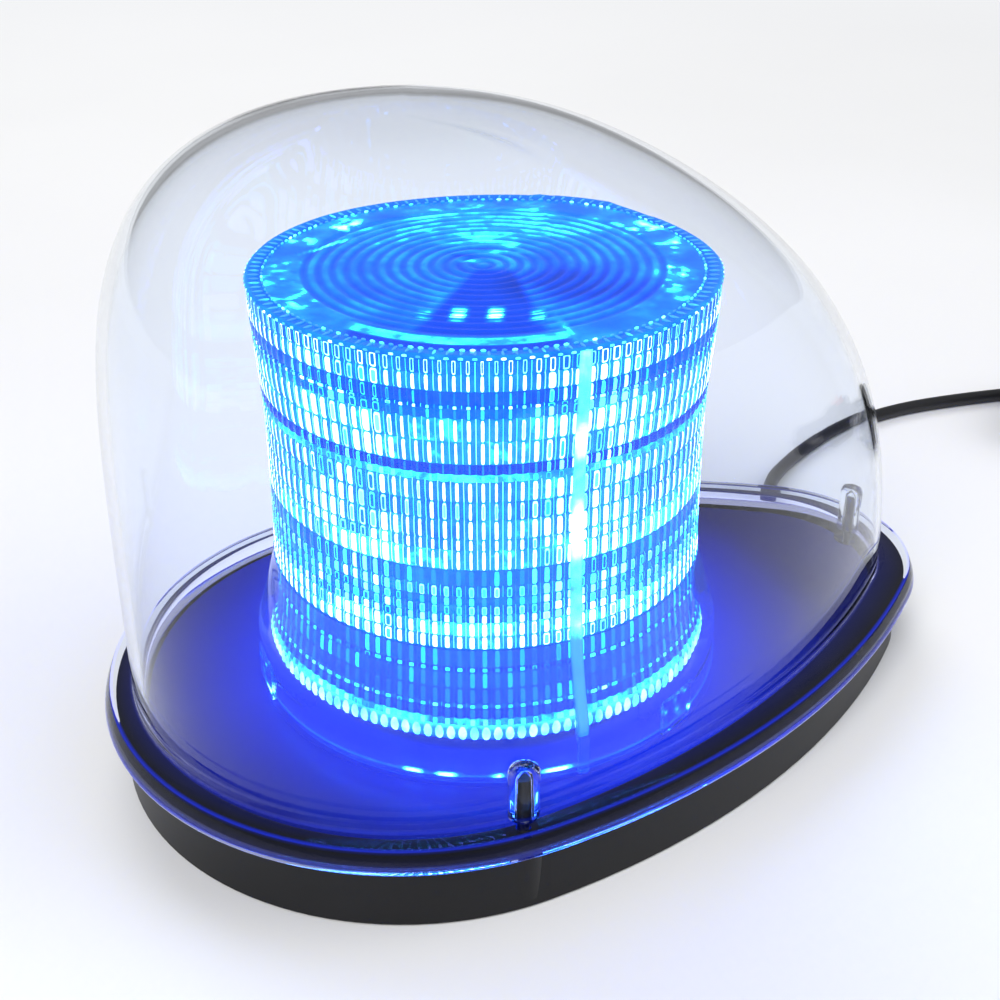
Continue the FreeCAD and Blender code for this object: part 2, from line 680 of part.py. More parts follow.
def make_deck():
    body = new_body("deck_body")
    rim = new_sketch(body, "deck_rim_outline", lift="ledge")
    egg(rim, "cavity_inset - deck_rim / 2 + deck_play")
    pad(body, rim, "deck_thick")
    panel = new_sketch(body, "deck_panel", lift="base_top")
    egg(panel, "dome_inset + dome_wall + mouth_play", "mouth_centre")
    pad(body, panel, "gasket_thick + deck_rise")
    hollow = new_sketch(body, "deck_hollow", lift="ledge")
    egg(hollow, "dome_inset + dome_wall + mouth_play + deck_rim", "mouth_centre")
    pocket(body, hollow, "deck_top - deck_thick - ledge", upwards=True)
    bosses = new_sketch(body, "deck_bosses", lift="deck_top")
    for bearing in FOOT_SCREWS:
        circle(bosses, "foot_screw_radius + deck_boss_wall", *polar("foot_screw_circle", bearing))
    sunk = pad(body, bosses, "deck_boss_height")
    sunk.Reversed = True
    clear = new_sketch(body, "deck_boss_notches", lift="deck_top")
    for x, y in BOSSES:
        circle(clear, "boss_radius + boss_play", x, y)
    pocket(body, clear, "deck_top - base_top")
    bores = new_sketch(body, "deck_bores", lift="base_top")
    for x, y in BOSSES:
        circle(bores, "bore_radius", x, y)
    pocket(body, bores, "deck_thick")
    groove = new_sketch(body, "deck_seal_groove", lift="deck_top")
    circle(groove, "lens_skirt_radius + seal_margin")
    circle(groove, "lens_skirt_radius + seal_margin - seal_width")
    pocket(body, groove, "seal_thick")
    pilots = new_sketch(body, "deck_pilots", lift="deck_top")
    for bearing in FOOT_SCREWS:
        circle(pilots, "foot_screw_radius + thread_play", *polar("foot_screw_circle", bearing))
    circle(pilots, "wire_hole_radius", "wire_hole_x")
    pocket(body, pilots, "deck_boss_height")
    hooks = []
    for bearing in HOOKS:
        post = ring_piece(
            f"hook_post_{bearing}", "lug_radius - hook_play - hook_wall", "lug_radius - hook_play",
            "lug_height + 2 * hook_play + hook_cap", "deck_top", bearing, "lug_span",
        )
        over = ring_piece(
            f"hook_over_{bearing}", "lug_radius - hook_play - hook_wall",
            "lug_radius + hook_reach", "hook_cap", "deck_top + lug_height + 2 * hook_play",
            bearing, "lug_span",
        )
        hooks += [post, over]
    keep(fuse("deck_plate", body, *hooks), "deck_plate")


def make_dome_gasket():
    body = new_body("gasket_body")
    outline = new_sketch(body, "gasket_outline", lift="base_top")
    egg(outline, "gasket_inset")
    egg(outline, "dome_inset + dome_wall + mouth_play / 2", "mouth_centre")
    pad(body, outline, "gasket_thick")
    notches = new_sketch(body, "gasket_notches", lift="flange_foot")
    for x, y in BOSSES:
        circle(notches, "bore_radius", x, y)
    pocket(body, notches, "gasket_thick")
    keep(body, "dome_gasket")


# ---------------------------------------------------------------- clear dome
# Each level of the dome is the same four-arc outline, drawn in by a superellipse to the front,
# one to the sides and one to the rear. The pairs are the power of the height and of the reach.
DOME_FRONT = (5.0, 5.0)
DOME_SIDE = (3.6, 3.97)
DOME_REAR = (2.22, 1.42)
TAIL_ROUNDING = 2.3
# the plan's width as a share of its length, at the crown, and how it gets there from the foot
CROWN_RATIO = 1.035
STEADY_RATIO = 0.643
RATIO_POWERS = (2.2, 10.0)
DOME_LEVELS = (0, 0.1, 0.22, 0.34, 0.46, 0.57, 0.67, 0.76, 0.83, 0.89, 0.93, 0.96)
CROWN_SCALES = (0.8, 0.55, 0.3, 0.1, 0.02)
CROWN_POWER = 3.0


def egg_wire(z, front_x, front_r, tail_x, tail_r, side_r):
    middle, drop, lead, trail = side_arc(front_x, front_r, tail_x, tail_r, side_r)
    arcs = (
        (tail_x, 0, tail_r, -trail, trail),
        (middle, -drop, side_r, trail, lead),
        (front_x, 0, front_r, lead, 2 * math.pi - lead),
        (middle, drop, side_r, -lead, -trail),
    )
    edges = [
        Part.ArcOfCircle(Part.Circle(Vector(x, y, z), UP, r), a, b).toShape()
        for x, y, r, a, b in arcs
    ]
    return Part.Wire(edges)


def falloff(level, pair):
    power, root = pair
    return (1 - level**power) ** (1 / root)


def dome_level(level, wall):
    """Front centre, front radius, tail centre, tail radius and side radius at a level."""
    inset, tail_inset = num("dome_inset") + wall, num("dome_tail_inset") + wall
    crown, front_r = num("crown_x"), num("front_radius") - inset
    front_end = num("front_centre") - front_r
    tail_end = num("tail_centre + tail_radius") - tail_inset
    front = crown - (crown - front_end) * falloff(level, DOME_FRONT)
    rear = crown + (tail_end - crown) * falloff(level, DOME_REAR)
    steady, late = (level**power for power in RATIO_POWERS)
    rise = STEADY_RATIO * steady + (1 - STEADY_RATIO) * late
    plump = 2 * front_r / (tail_end - front_end)
    half_width = (rear - front) / 2 * (plump + (CROWN_RATIO - plump) * rise)
    slim = (num("tail_radius") - inset) / front_r
    tail_r = half_width * (slim + (1 - slim) * level**TAIL_ROUNDING)
    side_r = (num("side_radius") - inset) * falloff(level, DOME_SIDE)
    return front + half_width, half_width, rear - tail_r, tail_r, side_r


def dome_solid(wall):
    """The dome's outer form, or with a wall its hollow, down to the flange's foot."""
    foot, height = num("flange_top"), num("dome_height") - wall
    wires = [egg_wire(foot + level * height, *dome_level(level, wall)) for level in DOME_LEVELS]
    last = DOME_LEVELS[-1]
    top = dome_level(last, wall)
    middle = (top[0] - top[1] + top[2] + top[3]) / 2
    for scale in CROWN_SCALES:
        z = foot + height - (1 - last) * height * scale**CROWN_POWER
        shrunk = [middle + (top[0] - middle) * scale, top[1] * scale]
        shrunk += [middle + (top[2] - middle) * scale, top[3] * scale, top[4] * scale]
        wires.append(egg_wire(z, *shrunk))
    shell = Part.makeLoft(wires, True, False)
    drop = num("flange_foot") - foot
    foot_face = Part.Face(egg_wire(foot, *dome_level(0, wall)))
    return shell.fuse(foot_face.extrude(Vector(0, 0, drop)))


def outline_wire(z, inset):
    radii = [num(name) - inset for name in ("front_radius", "tail_radius", "side_radius")]
    return egg_wire(z, num("front_centre"), radii[0], num("tail_centre"), radii[1], radii[2])


def make_dome():
    foot, top = num("flange_foot"), num("flange_top")
    flange = Part.makeLoft(
        [outline_wire(foot, -num("flange_flare")), outline_wire(top, 0)], True, True
    )
    dome = flange.fuse(dome_solid(0)).cut(dome_solid(num("dome_wall")))
    for x, y in BOSSES:
        spot = Vector(num(x), num(y), foot)
        dome = dome.fuse(Part.makeCylinder(num("boss_radius"), num("boss_height"), spot))
    for x, y in BOSSES:
        spot = Vector(num(x), num(y), foot)
        bore = num("dome_screw_radius + thread_play")
        depth = num("head_seat + dome_screw_length - flange_foot + pilot_spare")
        dome = dome.cut(Part.makeCylinder(bore, depth, spot))
    made = doc.addObject("Part::Feature", "outer_dome")
    made.Shape = dome.removeSplitter()
    keep(made, "outer_dome")
    screws = [
        screw(f"dome_screw_{i}", x, y, "head_seat", "dome_head_radius", "dome_head_height",
              "dome_screw_radius", "dome_screw_length")
        for i, (x, y) in enumerate(BOSSES, 1)
    ]
    keep(group("dome_screws", *screws), "dome_screws")


# ---------------------------------------------------------------- inner lens
FLARE_POWER = 3.5
RING_RISE = 0.35


def lens_radius(height):
    """Outer radius of the lens wall at a height above the deck."""
    waist, low = num("lens_waist_height"), num("lens_knurl_height")
    top = num("lens_top - lens_cap_height")
    if height >= waist:
        rise = ((height - waist) / (top - waist)) ** 2
        return num("lens_waist_radius") + num("lens_rim_radius - lens_waist_radius") * rise
    fall = ((waist - height) / (waist - low)) ** FLARE_POWER
    return num("lens_waist_radius") + num("lens_knurl_radius - lens_waist_radius") * fall


def lens_profile():
    """Radius and height of the lens's outer face, from the skirt's foot to the centre of the top."""
    skirt, skirt_top = num("lens_skirt_radius"), num("lens_skirt_height")
    knurl, knurl_top = num("lens_knurl_radius"), num("lens_knurl_height")
    top, rim, edge = num("lens_top"), num("lens_rim_radius"), num("lens_edge")
    line = [(skirt - edge, 0), (skirt, 2 * edge), (skirt, skirt_top - edge)]
    line += [(skirt - edge, skirt_top), (knurl - 2 * edge, skirt_top)]
    line += [(knurl, skirt_top + 2 * edge), (knurl, knurl_top - edge)]
    count, depth = int(num("ring_count")), num("ring_depth")
    cap = top - num("lens_cap_height")
    pitch = (cap - knurl_top) / count
    for i in range(count):
        groove = knurl_top + i * pitch
        crest = groove + RING_RISE * pitch
        line.append((lens_radius(groove) - depth, groove))
        line.append((lens_radius(crest), crest))
    bevel, sunk = num("lens_bevel"), top - num("top_ring_depth")
    line += [(rim - depth, cap), (rim, cap + edge), (rim, top - bevel), (rim - bevel, top)]
    rings = int(num("top_ring_count"))
    step = num("top_ring_radius") / (rings + 0.5)
    line += [(rim - bevel - 2 * edge, top), (rim - bevel - 3 * edge, sunk)]
    for i in range(rings):
        outer = num("top_ring_radius") - i * step
        line += [(outer, sunk), (outer, top), (outer - step, sunk)]
    line.append((0, sunk))
    return line


def revolve(corners, foot):
    points = [Vector(r, 0, foot + z) for r, z in corners]
    face = Part.Face(Part.makePolygon(points + points[:1]))
    return face.revolve(Vector(), UP, 360)


def flute_star(z, height):
    """A prism with one point for each flute inside the lens."""
    teeth = int(num("flute_count"))
    bore = num("lens_waist_radius - lens_wall")
    radii = (bore - num("flute_depth"), bore)
    corners = []
    for i in range(2 * teeth):
        angle = math.pi * i / teeth
        corners.append(Vector(math.cos(angle), math.sin(angle), 0) * radii[i % 2])
    star = Part.Face(Part.makePolygon(corners + corners[:1]))
    star.translate(Vector(0, 0, z))
    return star.extrude(Vector(0, 0, height))


def make_lens():
    foot, ceiling = num("deck_top"), num("deck_top + lens_top - lens_plate")
    bore = num("lens_waist_radius - lens_wall")
    skirt_in = num("lens_skirt_radius - lens_wall")
    skirt_top, throat = num("lens_skirt_height"), num("lens_throat")
    lens = revolve(lens_profile() + [(0, 0)], foot)
    lens = lens.cut(
        revolve([(0, 0), (skirt_in, 0), (skirt_in, skirt_top), (bore, throat), (0, throat)], foot)
    )
    lens = lens.cut(flute_star(foot + throat, ceiling - foot - throat))
    half, depth = num("rib_width") / 2, num("rib_depth")
    low = foot + num("lens_knurl_height")
    face = -num("lens_waist_radius") + num("ring_depth") + num("lens_edge")
    upright = Part.makeBox(2 * half, depth, ceiling - low, Vector(-half, face, low))
    thick = num("rib_thick")
    across = Part.makeBox(
        2 * half, num("rib_reach"), 2 * thick, Vector(-half, face, ceiling - thick)
    )
    lens = lens.fuse([upright, across])
    span, height = num("lug_span"), num("lug_height")
    base = Vector(0, 0, foot + num("hook_play"))
    for bearing in HOOKS:
        full = Part.makeCylinder(num("lens_skirt_radius - lens_wall / 2"), height, base, UP, span)
        lug = full.cut(Part.makeCylinder(num("lug_radius"), height, base, UP, span))
        lug.rotate(Vector(), UP, bearing - span / 2)
        lens = lens.fuse(lug)
    made = doc.addObject("Part::Feature", "inner_lens")
    made.Shape = lens
    keep(made, "inner_lens")
    under = "deck_top - seal_thick"
    outer = "lens_skirt_radius + seal_margin"
    rubber = cylinder("seal_outer", f"{outer} - seal_play", "seal_thick", z=under)
    hollow = cylinder("seal_inner", f"{outer} + seal_play - seal_width", "seal_thick", z=under)
    keep(cut("lens_seal", rubber, hollow), "lens_seal")


# ---------------------------------------------------------------- LED tower
SIDES = (0, 60, 120, 180, 240, 300)
TOP_LED_SPOTS = (-1.5, -0.5, 0.5, 1.5)


def make_tower():
    plate = hexagon("foot_plate", "tower_foot_apothem", "tower_foot", "deck_top")
    holes = [
        cylinder(f"foot_hole_{b}", "foot_screw_radius + hole_play", "tower_foot",
                 *polar("foot_screw_circle", b), "deck_top")
        for b in FOOT_SCREWS
    ]
    wires = cylinder("foot_wires", "wire_hole_radius", "tower_foot", "wire_hole_x", "0", "deck_top")
    keep(cut("tower_foot", plate, wires, *holes), "tower_foot")
    screws = [
        screw(f"foot_screw_{b}", *polar("foot_screw_circle", b), "tower_bottom",
              "foot_head_radius", "foot_head_height", "foot_screw_radius", "foot_screw_length",
              up=False)
        for b in FOOT_SCREWS
    ]
    keep(group("tower_screws", *screws), "tower_screws")
    outer = hexagon("core_outer", "tower_apothem", "tower_height", "tower_bottom")
    inner = hexagon("core_inner", "tower_apothem - tower_wall", "tower_height", "tower_bottom")
    keep(cut("tower_core", outer, inner), "tower_core")
    post = hexagon("post_flats", "post_radius", "tower_height", "tower_bottom")
    thread = cylinder("post_bore", "top_screw_radius + thread_play", "post_thread",
                      z="tower_bottom + tower_height - post_thread")
    keep(cut("centre_post", post, thread), "centre_post")
    for number, bearing in enumerate(SIDES, 1):
        make_side_board(number, bearing)
    sheet_z = "tower_bottom + tower_height"
    flat = hexagon("top_sheet", "tower_apothem + board_play + board_thick", "board_thick", sheet_z)
    hole = cylinder("top_hole", "top_screw_radius + hole_play", "board_thick", z=sheet_z)
    keep(cut("top_board", flat, hole), "top_board")
    lamps = []
    for bearing in SIDES:
        for spot in TOP_LED_SPOTS:
            lamp = doc.addObject("Part::Box", f"top_led_{bearing}_{len(lamps)}")
            bind(lamp, Length="top_led_size", Width="top_led_size", Height="top_led_thick")
            lamps.append(
                round_z(lamp, bearing, "top_led_radius - top_led_size / 2",
                        f"{spot} * top_led_pitch - top_led_size / 2",
                        f"{sheet_z} + board_thick")
            )
    keep(group("top_leds", *lamps), "top_leds")
    keep(
        screw("top_screw", "0", "0", f"{sheet_z} + board_thick", "top_screw_head",
              "top_screw_rise", "top_screw_radius", "top_screw_length", up=False),
        "top_screw",
    )


def make_side_board(number, bearing):
    back = "tower_apothem + board_play"
    board = doc.addObject("Part::Box", f"side_board_{number}")
    bind(board, Length="board_thick", Width="board_width", Height="board_height")
    foot = "tower_bottom + (tower_height - board_height) / 2"
    keep(round_z(board, bearing, back, "-board_width / 2", foot), f"side_board_{number}")
    lamps = []
    rows, columns = int(num("led_rows")), int(num("led_columns"))
    for row in range(rows):
        for column in range(columns):
            lamp = doc.addObject("Part::Box", f"led_{number}_{row}_{column}")
            bind(lamp, Length="led_thick", Width="led_size", Height="led_size")
            across = f"({column} - (led_columns - 1) / 2) * led_column_pitch - led_size / 2"
            up = f"{foot} + led_first_row + {row} * led_row_pitch - led_size / 2"
            lamps.append(round_z(lamp, bearing, f"{back} + board_thick", across, up))
    keep(group(f"side_leds_{number}", *lamps), f"side_leds_{number}")


# ---------------------------------------------------------------- driver in the base
def make_driver():
    board = block("driver_sheet", "driver_length", "driver_width", "board_thick", "driver_x", "0",
                  "board_bottom")
    holes = [
        cylinder(f"driver_hole_{i}", "driver_screw_radius + driver_hole_play", "board_thick", x, y,
                 "board_bottom")
        for i, (x, y) in enumerate(DRIVER_HOLES, 1)
    ]
    keep(cut("driver_board", board, *holes), "driver_board")
    screws = [
        screw(f"driver_screw_{i}", x, y, "board_top", "driver_head_radius", "driver_head_height",
              "driver_screw_radius", "driver_screw_length", up=False)
        for i, (x, y) in enumerate(DRIVER_HOLES, 1)
    ]
    keep(group("driver_screws", *screws), "driver_screws")
    cans = [
        cylinder(f"can_{i}", "can_radius", "can_height", "driver_x + can_x",
                 f"can_y + {i} * (2 * can_radius + hole_play)", "board_top")
        for i in (0, 1)
    ]
    keep(group("driver_capacitors", *cans), "driver_capacitors")
    ring = cylinder("choke_outer", "choke_radius", "choke_height", "driver_x + choke_x", "choke_y",
                    "board_top")
    hole = cylinder("choke_hole", "choke_bore", "choke_height", "driver_x + choke_x", "choke_y",
                    "board_top")
    keep(cut("driver_inductor", ring, hole), "driver_inductor")
    chips = [
        block(f"chip_{i}", "chip_length", "chip_width", "chip_height", f"driver_x + chip_x + {x}",
              f"{y} * chip_pitch", "board_top")
        for i, (x, y) in enumerate(((0, -1), (0, 1), ("chip_pitch", "1.6")), 1)
    ]
    keep(group("driver_chips", *chips), "driver_chips")
    keep(block("terminal_block", "terminal_length", "terminal_width", "terminal_height",
               "driver_x + driver_length / 2 - board_margin - terminal_length / 2", "terminal_y",
               "board_top"), "terminal_block")
    keep(block("harness_socket", "socket_length", "socket_width", "socket_height", "wire_hole_x",
               "0", "board_top"), "harness_socket")
    top = "tower_bottom + tower_height"
    keep(cylinder("tower_harness", "harness_radius", f"{top} - board_top - socket_height",
                  "wire_hole_x", "0", "board_top + socket_height"), "tower_harness")


# ---------------------------------------------------------------- cord
PLUG_X = "coil_x + coil_middle + (coil_turns - 1) / 2 * cord_diameter"
PLUG_Z = "plug_radius + plug_rest"


def exit_spot(reach):
    bearing = math.radians(num("cord_angle"))
    return Vector(
        num("tail_centre") + reach * math.cos(bearing),
        reach * math.sin(bearing),
        num("cord_exit_height"),
    )


def tube(name, points, diameter):
    """A round tube along straight runs that tangent arcs join; prints the arcs' radii."""
    edges, radii, start = [], [], points[0]
    for before, corner, after in zip(points, points[1:], points[2:]):
        back, ahead = before - corner, after - corner
        half_turn = (math.pi - back.getAngle(ahead)) / 2
        trim = 0.45 * min(back.Length, ahead.Length)
        radii.append(trim / math.tan(half_turn))
        back.normalize()
        ahead.normalize()
        enter, leave = corner + back * trim, corner + ahead * trim
        inward = back + ahead
        inward.normalize()
        reach = radii[-1] / math.cos(half_turn)
        top = corner + inward * (reach - radii[-1])
        edges.append(Part.LineSegment(start, enter).toShape())
        edges.append(Part.Arc(enter, top, leave).toShape())
        start = leave
    edges.append(Part.LineSegment(start, points[-1]).toShape())
    path = Part.Wire(edges)
    heading = points[1] - points[0]
    ring = Part.Wire(Part.Circle(points[0], heading, diameter / 2).toShape())
    solid = path.makePipeShell([ring], True, False)
    expected = math.pi * diameter**2 / 4 * path.Length
    print(name, "radii", [round(r, 1) for r in radii], "length", round(path.Length, 1),
          "volume", round(solid.Volume / expected, 4))
    if abs(solid.Volume / expected - 1) > 0.005:
        raise RuntimeError(f"{name} has the wrong volume")
    made = doc.addObject("Part::Feature", name)
    made.Shape = solid
    return keep(made, name)


def make_cord():
    diameter = num("cord_diameter")
    shoulder = "cord_shoulder - cord_flange"
    neck, lip = "cord_diameter / 2 + grommet_neck", "cord_diameter / 2 + grommet_lip"
    grommet = turned("grommet_body", [
        ("0", "0"), (lip, "0"), (lip, "grommet_flange"), (neck, "grommet_flange"),
        (neck, shoulder), (lip, shoulder),
        ("cord_diameter / 2 + grommet_end", f"{shoulder} + grommet_length"),
        ("0", f"{shoulder} + grommet_length"),
    ])
    keep(along_cord(grommet, "cord_flange"), "cord_grommet")
    reach, rest = num("cord_shoulder + grommet_length"), diameter / 2
    route = [
        exit_spot(reach),
        exit_spot(reach + 14.0),
        Vector(138.0, 61.6, 6.4),
        Vector(151.0, 73.0, 3.1),
        Vector(171.5, 84.0, rest),
        Vector(194.5, 91.4, rest),
        Vector(220.0, 93.8, rest),
        Vector(246.0, 90.2, rest),
        Vector(269.8, 84.9, rest),
        Vector(num("coil_x") + 9.8, num("coil_y") + 32.1, rest),
    ]
    tube("cord_tube", route, diameter)
    terminal = num("driver_x + driver_length / 2 - board_margin + lead_play")
    tube("inner_lead", [
        exit_spot(num("cord_flange - lead_play")),
        Vector(104.5, 15.9, 12.6),
        Vector(89.0, 11.0, 12.9),
        Vector(63.5, 13.0, 13.0),
        Vector(terminal, num("terminal_y"), num("board_top + terminal_height / 2")),
    ], num("lead_diameter"))
    spread = "(coil_turns / 2) * cord_diameter"
    inner, outer = f"coil_middle - {spread}", f"coil_middle + {spread}"
    tall, soft = "coil_layers * cord_diameter", "cord_diameter / 3"
    coil = turned("coil_body", [
        (inner, soft), (f"{inner} + {soft}", "0"), (f"{outer} - {soft}", "0"), (outer, soft),
        (outer, f"{tall} - {soft}"), (f"{outer} - {soft}", tall), (f"{inner} + {soft}", tall),
        (inner, f"{tall} - {soft}"),
    ])
    keep(place(coil, "coil_x", "coil_y"), "cord_coil")
    line, level = num(PLUG_X), num(PLUG_Z)
    top = num("(coil_layers - 0.5) * cord_diameter")
    end = num("plug_start_y + relief_length")
    tube("cord_tail", [
        Vector(line, num("coil_y"), top),
        Vector(line + 0.4, end + 15.4, top - 0.6),
        Vector(line + 0.2, end + 7.6, level + 0.4),
        Vector(line, end, level),
    ], diameter)


# ---------------------------------------------------------------- accessory plug
FORWARD = Vector(0, -1, 0)
SHELL_HOLLOW = "barrel_radius - plug_wall"
SPRING_START = "barrel_end - tip_flange - tip_spring_length"
FUSE_START = f"{SPRING_START} - fuse_length"


def lie(thing, roll=0):
    """Lays a thing's Z axis along the plug, with its foot at the plug's rear end."""
    turn = Rotation(Vector(0, 0, 1), Vector(-1, 0, 0), FORWARD, "ZXY")
    thing.Placement = Placement(Vector(), turn * Rotation(UP, roll))
    return place(thing, PLUG_X, "plug_start_y", PLUG_Z)


def plug_block(name, width, length, low, high, at, x="0"):
    """A box in the plug: width across, length along, between two heights above its axis."""
    return block(name, width, length, f"{high} - ({low})", f"{PLUG_X} + {x}",
                 f"plug_start_y - ({at})", f"{PLUG_Z} + {low}")


def make_plug_shells():
    mouth = "relief_neck + key_play"
    profile = [
        (mouth, "0"), ("plug_radius - end_round", "0"), ("plug_radius", "2 * end_round"),
        ("plug_radius", "grip_length - shoulder_length"), ("barrel_radius", "grip_length"),
        ("barrel_radius", "barrel_end"), (SHELL_HOLLOW, "barrel_end"),
        (SHELL_HOLLOW, "grip_length"),
        ("plug_radius - plug_wall", "grip_length - shoulder_length"),
        ("plug_radius - plug_wall", "plug_wall + relief_flange + key_play + end_round"),
        ("plug_radius - plug_wall - end_round", "plug_wall"), (mouth, "plug_wall"),
    ]
    slots = [
        plug_block(f"slot_{tag}", "2 * contact_depth", "contact_length + 2 * key_play",
                   "-contact_width / 2 - key_play", "contact_width / 2 + key_play",
                   "contact_at", f"{side} * barrel_radius")
        for tag, side in (("left", 1), ("right", -1))
    ]
    window = plug_block("rocker_window", "rocker_width + 2 * key_play",
                        "rocker_length + 2 * key_play", "plug_radius / 2", "2 * plug_radius",
                        "rocker_at")
    port = cylinder("button_port", "button_radius + key_play", "plug_radius", PLUG_X,
                    "plug_start_y - button_at", f"{PLUG_Z} + plug_radius / 2")
    upper = lie(turned("upper_body", profile, 180), -90)
    keep(cut("plug_upper_shell", upper, window, port, *slots), "plug_upper_shell")
    lower = lie(turned("lower_body", profile, 180), 90)
    keep(cut("plug_lower_shell", lower, *slots), "plug_lower_shell")


def make_plug_front():
    keep(lie(turned("relief_body", [
        ("0", "-relief_length"), ("cord_diameter / 2 + grommet_end", "-relief_length"),
        ("relief_neck", "-end_round"), ("relief_neck", "plug_wall + key_play"),
        ("relief_neck + relief_lip", "plug_wall + key_play"),
        ("relief_neck + relief_lip", "plug_wall + key_play + relief_flange"),
        ("0", "plug_wall + key_play + relief_flange"),
    ])), "plug_relief")
    bore, front = "tip_radius + key_play", "barrel_end + nose_length"
    keep(lie(turned("nose_body", [
        (bore, "barrel_end"), ("barrel_radius - nose_step", "barrel_end"),
        ("barrel_radius - nose_step", f"{front} - nose_taper"),
        ("barrel_radius - nose_step - nose_taper / 2", front), (bore, front),
    ])), "plug_nose_cap")
    end = f"{front} + tip_reach"
    keep(lie(turned("tip_body", [
        ("0", "barrel_end - tip_flange"), ("tip_head", "barrel_end - tip_flange"),
        ("tip_head", "barrel_end - tip_gap"), ("tip_radius", "barrel_end - tip_gap"),
        ("tip_radius", f"{end} - tip_round"), ("tip_radius - tip_round / 2", end), ("0", end),
    ])), "plug_tip")
    keep(lie(turned("spring_body", [
        (bore, SPRING_START), (f"{bore} + spring_wire", SPRING_START),
        (f"{bore} + spring_wire", "barrel_end - tip_flange"),
        (bore, "barrel_end - tip_flange"),
    ])), "plug_tip_spring")
    cap = "fuse_cap"
    keep(lie(turned("fuse_body", [
        ("0", FUSE_START), ("fuse_radius", FUSE_START), ("fuse_radius", f"{FUSE_START} + {cap}"),
        ("fuse_radius - fuse_step", f"{FUSE_START} + {cap}"),
        ("fuse_radius - fuse_step", f"{SPRING_START} - {cap}"),
        ("fuse_radius", f"{SPRING_START} - {cap}"), ("fuse_radius", SPRING_START),
        ("0", SPRING_START),
    ])), "plug_fuse")
    keep(lie(turned("holder_body", [
        ("fuse_radius + ring_play", FUSE_START), (f"{SHELL_HOLLOW} - key_play", FUSE_START),
        (f"{SHELL_HOLLOW} - key_play", f"{SPRING_START} - key_play"),
        ("fuse_radius + ring_play", f"{SPRING_START} - key_play"),
    ])), "plug_fuse_holder")


def make_ground_contacts():
    """Two bowed strips that stand out of slots in the barrel's sides."""
    strips = []
    half, flat = "contact_length / 2", "contact_length / 6"
    for tag, side in (("left", "1"), ("right", "-1")):
        body = new_body(f"contact_{tag}")
        sketch = new_sketch(body, f"contact_{tag}_bend")
        deep = f"{side} * (barrel_radius - contact_depth"
        bow = f"{side} * (barrel_radius + contact_bow"
        polygon(sketch, [
            (f"{deep})", f"-{half}"), (f"{deep} + contact_thick)", f"-{half}"),
            (f"{bow})", f"-{flat}"), (f"{bow})", flat),
            (f"{deep} + contact_thick)", half), (f"{deep})", half),
            (f"{bow} - contact_thick)", flat), (f"{bow} - contact_thick)", f"-{flat}"),
        ])
        pad(body, sketch, "contact_width")
        strips.append(
            place(body, PLUG_X, "plug_start_y - contact_at", f"{PLUG_Z} - contact_width / 2")
        )
    keep(group("plug_ground_contacts", *strips), "plug_ground_contacts")


def make_plug_controls():
    sheet_top = "plug_board_level + board_thick"
    keep(plug_block("plug_board", "plug_board_width", "plug_board_length", "plug_board_level",
                    sheet_top, "plug_board_at"), "plug_board")
    rim, sole = "rocker_level - rocker_step", "rocker_level - rocker_depth - rocker_step"
    case = plug_block("switch_case", "rocker_width + 2 * switch_wall",
                      "rocker_length + 2 * switch_wall", sheet_top, rim, "rocker_at")
    hollow = plug_block("switch_hollow", "rocker_width + 2 * key_play",
                        "rocker_length + 2 * key_play", sole, rim, "rocker_at")
    keep(cut("rocker_switch", case, hollow), "rocker_switch")
    keep(plug_block("button_switch", "button_box", "button_box", sheet_top,
                    "button_level - button_travel - key_play", "button_at"), "button_switch")
    key = new_body("rocker_body")
    side = new_sketch(key, "rocker_side", "YZ_Plane")
    half = "rocker_length / 2"
    polygon(side, [
        (f"-{half} + 2 * rocker_edge", "rocker_edge - rocker_depth"), ("0", "-rocker_depth"),
        (f"{half} - 2 * rocker_edge", "rocker_edge - rocker_depth"), (half, "rocker_edge"),
        (f"{half} - rocker_edge", "rocker_ear"), ("0", "rocker_ear - rocker_dish"),
        (f"-{half} + rocker_edge", "rocker_ear"), (f"-{half}", "rocker_edge"),
    ])
    broad = pad(key, side, "rocker_width")
    broad.SideType = "Symmetric"
    key.Placement = Placement(Vector(), Rotation(Vector(1, 0, 0), num("rocker_tilt")))
    keep(place(key, PLUG_X, "plug_start_y - rocker_at", f"{PLUG_Z} + rocker_level"), "plug_rocker")
    across, foot = "plug_start_y - button_at", f"{PLUG_Z} + button_level"
    stem = cylinder("button_stem", "button_radius", "button_length", PLUG_X, across, foot)
    brim = cylinder("button_brim", "button_radius + button_lip", "button_lip", PLUG_X, across, foot)
    keep(fuse("plug_button", stem, brim), "plug_button")


# ---------------------------------------------------------------- build, check and write
def check_document():
    """Stops if an object has failed or a sub-part isn't a sound solid."""
    for thing in doc.Objects:
        if {"Invalid", "Error"} & set(thing.State):
            raise RuntimeError(f"{thing.Name} failed: {thing.State}")
    for thing in PARTS:
        shape = thing.Shape
        if shape.isNull() or not shape.isValid() or not shape.Solids:
            raise RuntimeError(f"{thing.Label} isn't a sound solid")


def write_parts():
    os.makedirs("parts", exist_ok=True)
    for thing in PARTS:
        thing.Shape.exportStep(f"parts/{thing.Label}.step")


def main():
    make_base_housing()
    make_foot_pad()
    make_magnets()
    make_deck()
    make_dome_gasket()
    make_dome()
    make_lens()
    make_tower()
    make_driver()
    make_cord()
    make_plug_shells()
    make_plug_front()
    make_ground_contacts()
    make_plug_controls()
    doc.recompute()
    check_document()
    write_parts()


main()
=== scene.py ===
"""Dresses the rotating beacon: a magnetic base, a clear dome, a lit lens and a coiled cord."""
import logging
import math
from dataclasses import dataclass
from enum import Enum

import bmesh
import bpy
from mathutils import Matrix, Vector, noise


